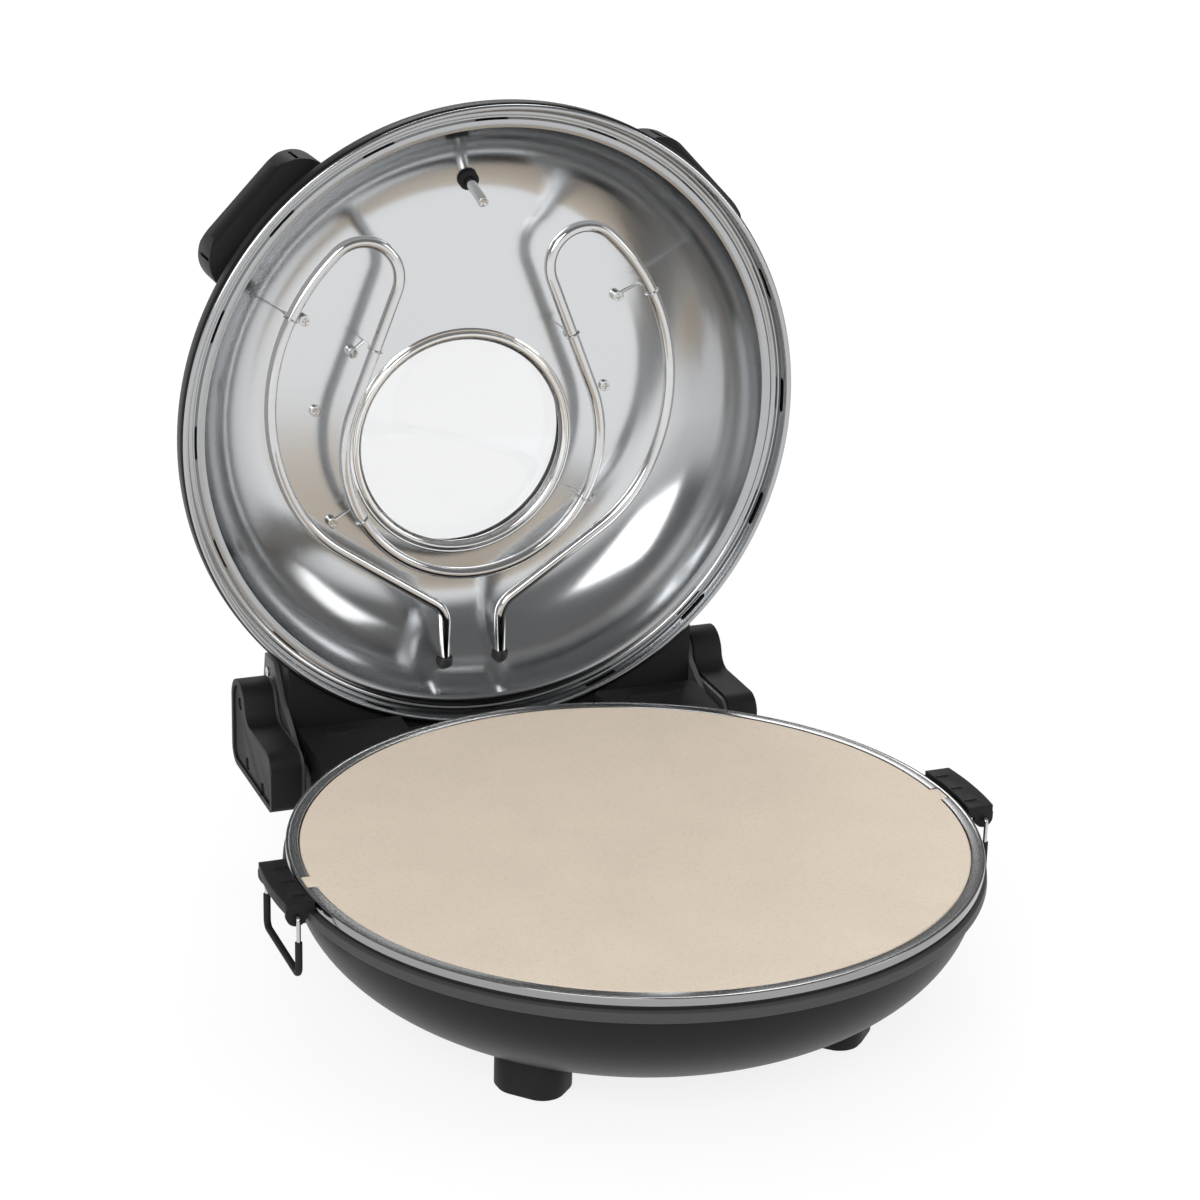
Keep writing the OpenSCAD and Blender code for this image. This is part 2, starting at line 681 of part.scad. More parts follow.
module window_bezel() {
  color([0.1, 0.1, 0.1]) lid_frame() window_place() rotate_extrude() polygon([
    [66.2, shell_d + 0.05], [71.2, shell_d + 0.05], [71.2, shell_d + 2.4], [69.6, shell_d + 4.6],
    [66, shell_d + 5.2], [61.4, shell_d + 5], [60.6, shell_d + 3.9], [66.2, shell_d + 3.9]]);
}

module lid_insulation() {
  below = 3.4;
  above = 4.8;
  color([0.8, 0.78, 0.7]) lid_frame() difference() {
    translate([0, 0, panel_d + sheet + below])
      cylinder(r = dome_c - 2, h = shell_d - panel_d - sheet - below - above);
    window_place() cylinder(r = window_r + 8, h = 200);
    translate([0, -129, 0]) cylinder(r = 30, h = 200);
  }
}

// Route of the upper heating tube's left half, in x and in height towards the lid's front, made of arcs that
// run into each other: a wide outer arc, a side arc inside it, a tight loop, and an arc under the window
big_c = [0, 5];
big_r = 116;
big_a0 = 132.5;
big_a1 = 205;
side_r = 85;
loop_r = 21;
end_r = 14;
ring_r = 74.5;
ring_c = [0, -23.5];
end_c = [-end_x - end_r, -125.9];
side_c = big_c + (big_r - side_r) * [cos(big_a1), sin(big_a1)];
loop_c = big_c + (big_r - loop_r) * [cos(big_a0), sin(big_a0)];
side_v = end_c - side_c;
side_a = 360 + atan2(side_v[1], side_v[0]) - acos((side_r + end_r) / norm(side_v));
ring_v = loop_c - ring_c;
ring_a = 360 + atan2(ring_v[1], ring_v[0]) + acos((loop_r + ring_r) / norm(ring_v));

// Point at angle a on the circle about c, with depth zero
function on(c, r, a) = [c[0] + r * cos(a), c[1] + r * sin(a), 0];

module heater_side() {
  arc_tube(big_c, big_r, big_a0, big_a1 - big_a0, tube_r);
  arc_tube(side_c, side_r, big_a1, side_a - big_a1, tube_r);
  bar(on(side_c, side_r, side_a), on(end_c, end_r, side_a - 180), tube_r);
  arc_tube(end_c, end_r, 0, side_a - 180, tube_r);
  bar([-end_x, end_c[1], 0], [-end_x, -153, 0], tube_r);
  arc_tube(loop_c, loop_r, ring_a - 540, big_a0 - ring_a + 540, tube_r);
  bar(on(loop_c, loop_r, ring_a - 180), on(ring_c, ring_r, ring_a), tube_r);
  for (j = [[big_c, big_r, big_a0], [big_c, big_r, big_a1], [side_c, side_r, side_a],
    [end_c, end_r, side_a - 180], [end_c, end_r, 0], [loop_c, loop_r, ring_a - 180], [ring_c, ring_r, ring_a]])
    collar(j[0], j[1], j[2], tube_r);
}

module upper_heater() {
  color([0.7, 0.7, 0.7]) lid_frame() translate([0, 0, heater_d]) mirror([0, 1, 0]) {
    mirror_x() heater_side();
    arc_tube(ring_c, ring_r, ring_a - 360, 540 - 2 * (ring_a - 360), tube_r);
  }
}

module heater_bushings() {
  color([0.05, 0.05, 0.05]) lid_frame() for (s = [-1, 1])
    translate([s * end_x, 0, heater_d]) rotate([-90, 0, 0]) ring(4.5, tube_r + fit, 146.5, 152);
}

module upper_terminals() {
  color([0.75, 0.75, 0.75]) lid_frame() for (s = [-1, 1]) translate([s * end_x, 0, heater_d])
    rotate([-90, 0, 0]) translate([0, 0, 153.05]) cylinder(r = 1.5, h = 5);
}

// Wire clips: the tube's normals where they hold it, in the lid frame, the points on the tube and their screws
clip_n = [-26.3, ring_a - 540, 29.7];
bar_mid = (on(loop_c, loop_r, ring_a - 180) + on(ring_c, ring_r, ring_a)) / 2;
clip_tube_xy = [
  [-big_c[0] + big_r * cos(clip_n[0]), -big_c[1] + big_r * sin(clip_n[0])],
  -[bar_mid[0], bar_mid[1]],
  [-ring_c[0] + ring_r * cos(clip_n[2]), -ring_c[1] + ring_r * sin(clip_n[2])]];
clip_screws_xy = clip_tube_xy + [[-13, 6.4], [6.8, 5.6], [11.2, 6.5]];

module clip_wire(p, q, n) {
  d = q - p;
  wire_z = panel_d - 1.5;
  translate([p[0], p[1], 0]) ring(3, screw_r + 0.2, wire_z - 0.3, panel_d - 0.1);
  translate([p[0], p[1], wire_z]) rotate([0, 0, atan2(d[1], d[0])]) translate([2.6, 0, 0]) rotate([0, 90, 0])
    cylinder(r = 0.4, h = norm(d) - 2.6, $fn = 16);
  translate([q[0], q[1], heater_d + tube_r + 0.5])
    cylinder(r = 0.4, h = wire_z - heater_d - tube_r - 0.4, $fn = 16);
  translate([q[0], q[1], heater_d]) rotate([0, 0, n]) rotate([90, 0, 0])
    rotate_extrude($fn = 24) translate([tube_r + 0.6, 0]) circle(r = 0.5, $fn = 14);
}

module heater_clips() {
  color([0.75, 0.75, 0.75]) lid_frame() mirror_x() for (i = [0 : 2])
    clip_wire(clip_screws_xy[i], clip_tube_xy[i], clip_n[i]);
}

module heater_clip_screws() {
  color([0.8, 0.8, 0.8]) lid_frame() mirror_x() for (p = clip_screws_xy) translate([p[0], p[1], panel_d - 3.9])
    mirror([0, 0, 1]) pan_screw(3, 2, screw_r, 6.4);
}

module reflector_screws() {
  color([0.8, 0.8, 0.8]) lid_frame() mirror_x() translate([85, 2, panel_d - 2]) mirror([0, 0, 1])
    pan_screw(3, 1.95, screw_r, 5.4);
}

// Frame at the probe's hole, +Z along the probe into the lid
probe_v = 122;
probe_x = 2;
probe_a = asin((probe_v - dome_c) / dome_round);
module probe_place() {
  translate([probe_x, -probe_v, dome_cd + dome_round * cos(probe_a)]) rotate([180 + probe_a, 0, 0])
    children();
}

module probe() {
  color([0.8, 0.8, 0.8]) lid_frame() probe_place() difference() {
    translate([0, 0, -9]) cylinder(r = 2.9, h = 36);
    translate([0, 0, 26.2]) cylinder(r = 1.9, h = 1);
  }
}

module probe_grommet() {
  color([0.02, 0.02, 0.02]) lid_frame() probe_place() {
    ring(4.15, 2.95, -1.4, 0.9);
    ring(5.6, 2.95, 0.4, 2.6);
    ring(5.6, 2.95, -2.6, -1.2);
  }
}

// Right-hand handle, drawn flat and cut to the shell
module handle_block() {
  difference() {
    intersection() {
      handle_place() translate([-42, -17, 22]) linear_extrude(30) difference() {
        union() {
          translate([20, 20]) circle(r = 20);
          translate([64, 20]) circle(r = 20);
          translate([20, 0]) square([44, 60]);
          translate([0, 20]) square([84, 40]);
        }
      }
      rotate([0, 0, handle_a]) rotate([90, 0, 90]) translate([0, 0, -60]) linear_extrude(120)
        translate([-shell_r0, 0]) polygon([[-11, 30], [-8, 26], [20, 24], [40, 24], [40, 52], [2, 52],
          [-8, 48], [-11, 44]]);
    }
    shell_envelope(0.15);
    handle_place() translate([-36, -12.5, 27]) linear_extrude(17) difference() {
      square([72, 40]);
      for (x = [10, 54]) translate([x, -1]) square([8, 42]);
    }
    handle_screw_place() rotate([90, 0, 0]) cylinder(r = handle_screw_r + fit, h = 18, center = true);
  }
}

module handle_left() {
  color([0.06, 0.06, 0.06]) lid_frame() mirror([1, 0, 0]) handle_block();
}

module handle_right() {
  color([0.06, 0.06, 0.06]) lid_frame() handle_block();
}

module handle_screws() {
  color([0.6, 0.6, 0.6]) lid_frame() mirror_x() handle_screw_place()
    translate([0, 8, 0]) rotate([-90, 0, 0]) pan_screw(4, 2, handle_screw_r, 15.6);
}

// ---------- hinge, lid side ----------

module lid_hinge_block() {
  w = arm_in - 0.1;
  color([0.07, 0.07, 0.07]) lid_frame() difference() {
    translate([0, 0, 3]) linear_extrude(38)
      polygon([[-w, 100], [-w, 178], [-110, 188], [110, 188], [w, 178], [w, 100]]);
    translate([0, 0, 7]) linear_extrude(31) difference() {
      polygon([[3 - w, 90], [3 - w, 176.5], [-108.6, 185], [108.6, 185], [w - 3, 176.5], [w - 3, 90]]);
      for (s = [-1, 1]) translate([s * (w - 8), 146]) square([20, 60], center = true);
    }
    shell_envelope(0.15);
    translate([0, 0, 26]) rotate([30, 0, 0]) translate([-150, 160, -80]) cube([300, 60, 30]);
    for (p = arm_holes) for (s = [-1, 1]) translate([s * (w - 5), p[0], p[1] - lid_gap]) rotate([0, 90, 0])
      cylinder(r = 1.6, h = 24, center = true);
  }
}

// Screws of the arms, in y and in height above the rim, on the closed lid
arm_holes = [[152, 22], [141, 34]];

module hinge_arm() {
  lid_pose() difference() {
    union() {
      side_plate(arm_in, arm_out) translate([hinge_y, -hinge_drop]) circle(r = 8.8);
      side_plate(arm_in, arm_out)
        polygon([[173, -29], [148, 10], [132, 22], [132, 40], [150, 44], [172, 34], [186, -29], [175, -31]]);
    }
    translate([arm_in - 1, hinge_y, hinge_z]) rotate([0, 90, 0]) cylinder(r = pin_r + fit, h = 6);
    for (p = arm_holes) translate([arm_in - 1, p[0], rim_h + p[1]]) rotate([0, 90, 0])
      cylinder(r = 1.75, h = 6);
  }
}

module hinge_arm_left() {
  color([0.5, 0.5, 0.5]) mirror([1, 0, 0]) hinge_arm();
}

module hinge_arm_right() {
  color([0.5, 0.5, 0.5]) hinge_arm();
}

module arm_screws() {
  color([0.75, 0.75, 0.75]) lid_pose() mirror_x() for (p = arm_holes)
    translate([arm_out + 0.7, p[0], rim_h + p[1]]) rotate([0, 90, 0]) pan_screw(2.6, 0.65, 1.55, 12);
}

// ---------- controls ----------

shaft_r = 3;
knob_face = [129, 72.5];
face_a = atan2(21, 34);

// Frame on the control box's sloped face, +Z out of the face
module face_place() {
  translate([0, -knob_face[0], knob_face[1]]) rotate([face_a, 0, 0]) children();
}

module control_box() {
  w = 48;
  color([0.05, 0.05, 0.05]) lid_frame() difference() {
    rotate([90, 0, 90]) translate([0, 0, -w]) linear_extrude(2 * w)
      polygon([[-78, 60], [-80, 81], [-83, 83], [-112, 83], [-146, 62], [-149, 59], [-149, 40], [-120, 40]]);
    rotate([90, 0, 90]) translate([0, 0, 2.4 - w]) linear_extrude(2 * w - 4.8)
      polygon([[-80.4, 40], [-82.4, 80.6], [-111.2, 80.6], [-146.6, 58.8], [-146.6, 40]]);
    shell_envelope(0.15);
    face_place() cylinder(r = 3.4, h = 10, center = true);
    for (s = [-1, 1]) face_place() translate([s * 32, 0, 0]) cylinder(r = 3.1, h = 10, center = true);
  }
}

module thermostat() {
  color([0.7, 0.7, 0.65]) lid_frame() face_place() {
    translate([-7, -6, -5]) cube([14, 12, 2.4]);
    translate([0, 0, -3]) cylinder(r = 3.3, h = 4.2);
    cylinder(r = shaft_r, h = 8);
  }
}

module control_knob() {
  color([0.08, 0.08, 0.08]) lid_frame() face_place() difference() {
    union() {
      rotate_extrude() polygon([[0, 1.6], [15.4, 1.6], [15.6, 2.4], [14.8, 10.6], [14, 11.4], [0, 11.8]]);
      translate([-1.6, -14, 10]) cube([3.2, 28, 5.5]);
    }
    cylinder(r = shaft_r + fit, h = 8.4);
    for (i = [0 : 23]) rotate([0, 0, i * 15]) translate([16, 0, 0]) cylinder(r = 1.1, h = 12, $fn = 16);
  }
}

module indicator_lamps() {
  color([0.8, 0.1, 0.05]) lid_frame() for (s = [-1, 1])
    face_place() translate([s * 32, 0, 0]) rotate_extrude()
    polygon([[0, -2.2], [3, -2.2], [3, 0.1], [4.2, 0.1], [4.2, 0.8], [3, 1.8], [1.4, 2.4], [0, 2.5]]);
}

module at_origin() {
  translate([0, -mid_y, 0]) children();
}

at_origin() base_bowl();
at_origin() bowl_band();
at_origin() rim_seal();
at_origin() rim_ring();
at_origin() heater_pan();
at_origin() baking_stone();
at_origin() lower_heater();
at_origin() lower_heater_brackets();
at_origin() lower_heater_bushings();
at_origin() lower_terminals();
at_origin() feet();
at_origin() foot_pads();
at_origin() foot_screws();
at_origin() clip_plate_left();
at_origin() clip_plate_right();
at_origin() clip_screws();
at_origin() bail_wire_left();
at_origin() bail_sleeve_left();
at_origin() bail_wire_right();
at_origin() bail_sleeve_right();
at_origin() hinge_yoke();
at_origin() hinge_cover();
at_origin() hinge_cheek_left();
at_origin() hinge_cheek_right();
at_origin() cheek_screws();
at_origin() hinge_pins();
at_origin() cable_box();
at_origin() cable_gland();
at_origin() terminal_block();
at_origin() lid_shell();
at_origin() lid_reflector();
at_origin() window_frame();
at_origin() window_gasket();
at_origin() window_glass_inner();
at_origin() window_tube();
at_origin() window_glass_outer();
at_origin() window_bezel();
at_origin() lid_insulation();
at_origin() upper_heater();
at_origin() heater_bushings();
at_origin() upper_terminals();
at_origin() heater_clips();
at_origin() heater_clip_screws();
at_origin() reflector_screws();
at_origin() probe();
at_origin() probe_grommet();
at_origin() handle_left();
at_origin() handle_right();
at_origin() handle_screws();
at_origin() lid_hinge_block();
at_origin() hinge_arm_left();
at_origin() hinge_arm_right();
at_origin() arm_screws();
at_origin() control_box();
at_origin() thermostat();
at_origin() control_knob();
at_origin() indicator_lamps();
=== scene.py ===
"""Electric pizza maker with a hinged lid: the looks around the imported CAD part.

Everything is in metres in the part's own frame: +Z up, -Y front, origin on the table under the middle
of the whole object. Pieces of the base are modelled about the bowl's axis and moved to their place.
Pieces of the lid are modelled as the closed lid lies, with the depth behind its edge as their height,
and are then turned up about the hinge.
"""

import json
import math

import bpy
from bpy.props import FloatProperty, FloatVectorProperty, IntProperty, PointerProperty
from mathutils import Matrix, Vector


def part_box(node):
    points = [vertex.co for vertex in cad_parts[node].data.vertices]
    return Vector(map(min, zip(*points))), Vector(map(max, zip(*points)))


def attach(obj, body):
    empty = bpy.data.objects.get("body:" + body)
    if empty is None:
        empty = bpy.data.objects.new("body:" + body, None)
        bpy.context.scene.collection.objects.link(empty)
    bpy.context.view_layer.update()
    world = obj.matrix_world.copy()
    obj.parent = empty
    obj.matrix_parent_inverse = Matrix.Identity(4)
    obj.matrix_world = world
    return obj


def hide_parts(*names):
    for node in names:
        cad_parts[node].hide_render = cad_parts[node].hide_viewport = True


bl_info = {
    "name": "Pizza maker",
    "version": (1, 0, 0),
    "blender": (4, 5, 0),
    "location": "3D View > Sidebar > Pizza maker",
    "description": "Builds the looks of an electric pizza maker around its CAD part",
    "category": "Add Mesh",
}

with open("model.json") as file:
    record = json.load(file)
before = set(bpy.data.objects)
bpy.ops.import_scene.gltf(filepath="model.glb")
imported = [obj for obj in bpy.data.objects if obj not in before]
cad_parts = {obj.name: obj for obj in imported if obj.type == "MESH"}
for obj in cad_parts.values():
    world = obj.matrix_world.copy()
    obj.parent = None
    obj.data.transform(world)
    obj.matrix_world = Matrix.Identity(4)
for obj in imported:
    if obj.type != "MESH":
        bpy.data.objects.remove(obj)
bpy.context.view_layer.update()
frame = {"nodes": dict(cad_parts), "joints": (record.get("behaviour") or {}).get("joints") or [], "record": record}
MM = 0.001
HINGE = next(j for j in frame["joints"] if j["name"] == "lid_hinge")
RIM_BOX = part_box("rim_ring")
BASE_Y = (RIM_BOX[0].y + RIM_BOX[1].y) / 2
ROUND_STEPS = 192
FINE_STEPS = 256
WELD = 2e-6  # points closer than this are one point
STRAIGHT = 0.02  # half angles this close to a right angle are no corner


# ---------- sizes and colours ----------


class PizzaSizes(bpy.types.PropertyGroup):
    """Sizes of the pizza maker's pieces"""

    rim_height: FloatProperty(
        name="Rim height", description="Height of the steel rim above the table",
        default=RIM_BOX[1].z, unit="LENGTH")
    rim_radius: FloatProperty(
        name="Rim radius", description="Outer radius of the steel rim",
        default=RIM_BOX[1].x, unit="LENGTH")
    stone_radius: FloatProperty(
        name="Stone radius", description="Radius of the baking stone", default=0.167, unit="LENGTH")
    bowl_radius: FloatProperty(
        name="Bowl radius", description="Outer radius of the bowl under its band",
        default=0.171, unit="LENGTH")
    bowl_flat: FloatProperty(
        name="Bowl bottom radius", description="Radius of the bowl's flat bottom",
        default=0.066, unit="LENGTH")
    bowl_height: FloatProperty(
        name="Bowl height", description="Height of the bowl below its band",
        default=0.069, unit="LENGTH")
    open_angle: FloatProperty(
        name="Opening angle", description="Angle at which the lid stands open",
        default=math.radians(90.75), unit="ROTATION")
    lid_gap: FloatProperty(
        name="Lid gap", description="Gap between the closed lid and the rim",
        default=0.0006, unit="LENGTH")
    dome_radius: FloatProperty(
        name="Dome radius", description="Radius of the lid's inner dome at its mouth",
        default=0.160, unit="LENGTH")
    dome_round: FloatProperty(
        name="Dome rounding", description="Radius of the dome's round wall",
        default=0.052, unit="LENGTH")
    panel_depth: FloatProperty(
        name="Panel depth", description="Depth of the flat panel in the lid",
        default=0.060, unit="LENGTH")
    shell_depth: FloatProperty(
        name="Shell height", description="Height of the lid's outer shell",
        default=0.074, unit="LENGTH")
    window_offset: FloatProperty(
        name="Window offset", description="Distance of the window centre behind the lid centre",
        default=0.0274, unit="LENGTH")
    window_radius: FloatProperty(
        name="Window radius", description="Visible radius of the window", default=0.0589, unit="LENGTH")
    tube_radius: FloatProperty(
        name="Tube radius", description="Radius of the heating tube", default=0.0033, unit="LENGTH")
    heater_depth: FloatProperty(
        name="Heater depth", description="Depth of the heating tube's centre line",
        default=0.039, unit="LENGTH")
    slots: IntProperty(
        name="Slots", description="Number of slots around the lid's skirt", default=16, min=0)


class PizzaColours(bpy.types.PropertyGroup):
    """Colours of the pizza maker's finishes"""

    black: FloatVectorProperty(
        name="Black paint", description="Satin black paint of the bowl and the lid",
        default=(0.0085, 0.0085, 0.009), subtype="COLOR")
    plastic: FloatVectorProperty(
        name="Black plastic", description="Fine-grained black plastic",
        default=(0.011, 0.011, 0.0115), subtype="COLOR")
    band: FloatVectorProperty(
        name="Grey band", description="Dark grey band under the rim",
        default=(0.055, 0.056, 0.058), subtype="COLOR")
    stone: FloatVectorProperty(
        name="Stone", description="Sand colour of the baking stone",
        default=(0.78, 0.67, 0.55), subtype="COLOR")
    sheet: FloatVectorProperty(
        name="Reflector", description="Pressed sheet inside the lid",
        default=(0.66, 0.675, 0.69), subtype="COLOR")


# ---------- modelling ----------


def deselect():
    bpy.ops.object.select_all(action="DESELECT")


def pick(*objs):
    deselect()
    for o in objs:
        o.select_set(True)
    bpy.context.view_layer.objects.active = objs[0]


def apply_place(obj):
    pick(obj)
    bpy.ops.object.transform_apply(location=True, rotation=True, scale=True)


def edit(obj):
    pick(obj)
    bpy.ops.object.mode_set(mode="EDIT")
    bpy.ops.mesh.select_mode(type="VERT")
    bpy.ops.mesh.select_all(action="SELECT")


def leave_edit():
    bpy.ops.object.mode_set(mode="OBJECT")


def new_piece(name):
    obj = bpy.context.view_layer.objects.active
    obj.name = obj.data.name = name
    return obj


def smooth(obj, angle=32):
    pick(obj)
    bpy.ops.object.shade_smooth_by_angle(angle=math.radians(angle))


def use(obj, kind, **settings):
    """Adds a modifier and applies it."""
    pick(obj)
    mod = obj.modifiers.new(kind.title(), kind)
    for key, value in settings.items():
        setattr(mod, key, value)
    bpy.ops.object.modifier_apply(modifier=mod.name)


def soften(obj, width, angle=32, segments=2):
    """Rounds the sharp edges."""
    use(obj, "BEVEL", width=width, segments=segments, limit_method="ANGLE",
        angle_limit=math.radians(angle), use_clamp_overlap=True, harden_normals=False)


def bevel_along_x(obj, width, segments):
    """Rounds the edges of a small block that run along X."""
    edit(obj)
    bpy.ops.mesh.select_mode(type="EDGE")
    bpy.ops.mesh.select_all(action="DESELECT")
    leave_edit()
    for e in obj.data.edges:
        a, b = (obj.data.vertices[i].co for i in e.vertices)
        e.select = abs(a.x - b.x) > MM
    bpy.ops.object.mode_set(mode="EDIT")
    bpy.ops.mesh.bevel(offset=width, segments=segments)
    leave_edit()


def block(name, location, size):
    """A box with its middle at the location."""
    deselect()
    bpy.ops.mesh.primitive_cube_add(size=1, location=location)
    obj = new_piece(name)
    obj.scale = size
    apply_place(obj)
    return obj


def disc(name, radius, thickness, location, vertices):
    deselect()
    bpy.ops.mesh.primitive_cylinder_add(
        vertices=vertices, radius=radius, depth=thickness, location=location)
    return new_piece(name)


def turn_round(obj, angle):
    """Turns a piece round the upright axis through the origin."""
    obj.matrix_world = Matrix.Rotation(angle, 4, "Z")
    apply_place(obj)
    return obj


def cut(obj, *tools):
    """Cuts the tools out of the piece and throws them away."""
    for tool in tools:
        use(obj, "BOOLEAN", operation="DIFFERENCE", object=tool, solver="EXACT")
        bpy.data.objects.remove(tool)


def rounded(points, radius, steps=4, most=0.45):
    """Closed outline with its corners rounded, over no more than the given share of a side."""
    out = []
    for i, p in enumerate(points):
        p = Vector(p)
        a, b = Vector(points[i - 1]) - p, Vector(points[(i + 1) % len(points)]) - p
        la, lb = a.length, b.length
        half = a.angle(b) / 2
        if abs(half - math.pi / 2) < STRAIGHT:
            out.append(p)
            continue
        back = min(radius / math.tan(half), la * most, lb * most)
        r = back * math.tan(half)
        mid = p + (a / la + b / lb).normalized() * (r / math.sin(half))
        start, end = p + a / la * back - mid, p + b / lb * back - mid
        turn = start.angle_signed(end)
        for k in range(steps + 1):
            w = -turn * k / steps
            out.append(mid + Matrix.Rotation(w, 2) @ start)
    return out


def first_point(name, at):
    """A new mesh that is one point, left in edit mode."""
    deselect()
    bpy.ops.mesh.primitive_plane_add(size=0.001, location=at)
    obj = new_piece(name)
    apply_place(obj)
    edit(obj)
    bpy.ops.mesh.merge(type="CENTER")
    return obj


def extrude_by(step):
    bpy.ops.mesh.extrude_region_move(TRANSFORM_OT_translate={"value": tuple(step)})


def turned(name, outline, steps=ROUND_STEPS, axis_at=(0, 0)):
    """Spins a closed outline of radius and height round an upright axis."""
    obj = first_point(name, (outline[0][0] + axis_at[0], axis_at[1], outline[0][1]))
    loop = list(outline) + [outline[0]]
    for p, q in zip(loop, loop[1:]):
        extrude_by((q[0] - p[0], 0, q[1] - p[1]))
    bpy.ops.mesh.select_all(action="SELECT")
    bpy.ops.mesh.spin(steps=steps, angle=math.tau, center=(*axis_at, 0), axis=(0, 0, 1))
    bpy.ops.mesh.select_all(action="SELECT")
    bpy.ops.mesh.remove_doubles(threshold=WELD)
    bpy.ops.mesh.normals_make_consistent(inside=False)
    leave_edit()
    smooth(obj)
    return obj


def tube(name, start, heading, radius, moves, sides=28):
    """Round bar that follows lines and arcs. An arc is (centre, axis, degrees), a line is a step."""
    deselect()
    turn = Vector(heading).to_track_quat("Z", "Y").to_euler()
    bpy.ops.mesh.primitive_circle_add(
        vertices=sides, radius=radius, location=start, rotation=turn, fill_type="NOTHING")
    obj = new_piece(name)
    apply_place(obj)
    edit(obj)
    for move in moves:
        if len(move) == 1:
            extrude_by(move[0])
        else:
            centre, axis, degrees = move
            steps = max(4, int(abs(degrees) / 3))
            bpy.ops.mesh.spin(steps=steps, angle=-math.radians(degrees), center=centre, axis=axis)
    bpy.ops.mesh.select_all(action="SELECT")
    bpy.ops.mesh.fill_holes(sides=0)
    bpy.ops.mesh.normals_make_consistent(inside=False)
    leave_edit()
    smooth(obj, 40)
    return obj


def from_node(node, name, width=0.0, angle=32, segments=2):
    """A piece made from a CAD node's mesh: merged, its flat faces joined and its edges rounded."""
    source = frame["nodes"][node]
    obj = bpy.data.objects.new(name, source.data.copy())
    bpy.context.scene.collection.objects.link(obj)
    edit(obj)
    bpy.ops.mesh.remove_doubles(threshold=WELD)
    bpy.ops.mesh.customdata_custom_splitnormals_clear()
    if width:
        bpy.ops.mesh.dissolve_limited(angle_limit=math.radians(0.4))
    leave_edit()
    if width:
        soften(obj, width, angle, segments)
    smooth(obj, angle + 8)
    return obj


def lid_matrix(sizes):
    """Takes the closed lid's frame, with the depth behind its edge as height, to the open lid."""
    hinge = Matrix.Translation(Vector(HINGE["pos_m"]))
    turn = Matrix.Rotation(-sizes.open_angle, 4, "X")
    lift = Matrix.Translation((0, BASE_Y, sizes.rim_height + sizes.lid_gap))
    return hinge @ turn @ hinge.inverted() @ lift


def settle(obj):
    """Moves a piece modelled about the base's axis to its place."""
    obj.location.y = BASE_Y
    apply_place(obj)
    return obj


def raise_lid_piece(obj, sizes):
    obj.matrix_world = lid_matrix(sizes)
    apply_place(obj)
    return obj


def place(obj, body, nodes, slot_name, finish=None):
    """Gives a finished piece its material (its finish, or else the slot's) and its body, and hides the CAD nodes
    that it stands for.
    """
    obj.data.materials.clear()
    obj.data.materials.append(finish_of(finish or slot_name))
    for poly in obj.data.polygons:
        poly.material_index = 0
    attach(obj, body)
    if nodes:
        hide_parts(*nodes)
    return obj


# ---------- finishes ----------


def new_group(name, inputs, outputs):
    group = bpy.data.node_groups.new(name, "ShaderNodeTree")
    for label, kind, default in inputs:
        socket = group.interface.new_socket(name=label, in_out="INPUT", socket_type=kind)
        if default is not None:
            socket.default_value = default
    for label, kind in outputs:
        group.interface.new_socket(name=label, in_out="OUTPUT", socket_type=kind)
    return group, group.nodes.new("NodeGroupInput"), group.nodes.new("NodeGroupOutput")


def wire(tree, *pairs):
    for a, b in pairs:
        tree.links.new(a, b)


def maths(tree, operation, *values):
    node = tree.nodes.new("ShaderNodeMath")
    node.operation = operation
    for socket, value in zip(node.inputs, values):
        if isinstance(value, (int, float)):
            socket.default_value = value
        else:
            tree.links.new(value, socket)
    return node.outputs[0]


def spread(tree, value, low, high):
    """Maps 0 to 1 onto low to high."""
    node = tree.nodes.new("ShaderNodeMapRange")
    node.inputs["To Min"].default_value = low
    node.inputs["To Max"].default_value = high
    tree.links.new(value, node.inputs["Value"])
    return node.outputs[0]


def grain_group():
    """Fine grain and slow unevenness of a surface."""
    group, gin, gout = new_group(
        "Surface grain",
        [("Vector", "NodeSocketVector", None), ("Scale", "NodeSocketFloat", 900.0),
         ("Slow scale", "NodeSocketFloat", 14.0), ("Contrast", "NodeSocketFloat", 1.6)],
        [("Grain", "NodeSocketFloat"), ("Slow", "NodeSocketFloat")])
    for label, scale, detail, output in (("Grain", "Scale", 3, 0), ("Slow", "Slow scale", 2, 1)):
        noise = group.nodes.new("ShaderNodeTexNoise")
        noise.label = label
        noise.inputs["Detail"].default_value = detail
        wire(group, (gin.outputs["Vector"], noise.inputs["Vector"]),
             (gin.outputs[scale], noise.inputs["Scale"]))
        centred = maths(group, "SUBTRACT", noise.outputs["Fac"], 0.5)
        raised = maths(group, "MULTIPLY", centred, gin.outputs["Contrast"])
        value = maths(group, "ADD", raised, 0.5)
        wire(group, (value, gout.inputs[output]))
    return group


def speck_group():
    """Scattered specks and pores."""
    bare_share = 0.55
    group, gin, gout = new_group(
        "Specks",
        [("Vector", "NodeSocketVector", None), ("Scale", "NodeSocketFloat", 420.0),
         ("Size", "NodeSocketFloat", 0.22)],
        [("Mask", "NodeSocketFloat")])
    cells = group.nodes.new("ShaderNodeTexVoronoi")
    pick_some = group.nodes.new("ShaderNodeTexWhiteNoise")
    wire(group, (gin.outputs["Vector"], cells.inputs["Vector"]),
         (gin.outputs["Scale"], cells.inputs["Scale"]),
         (cells.outputs["Position"], pick_some.inputs["Vector"]))
    near = maths(group, "LESS_THAN", cells.outputs["Distance"], gin.outputs["Size"])
    few = maths(group, "GREATER_THAN", pick_some.outputs["Value"], bare_share)
    wire(group, (maths(group, "MULTIPLY", near, few), gout.inputs[0]))
    return group


GROUPS = {}


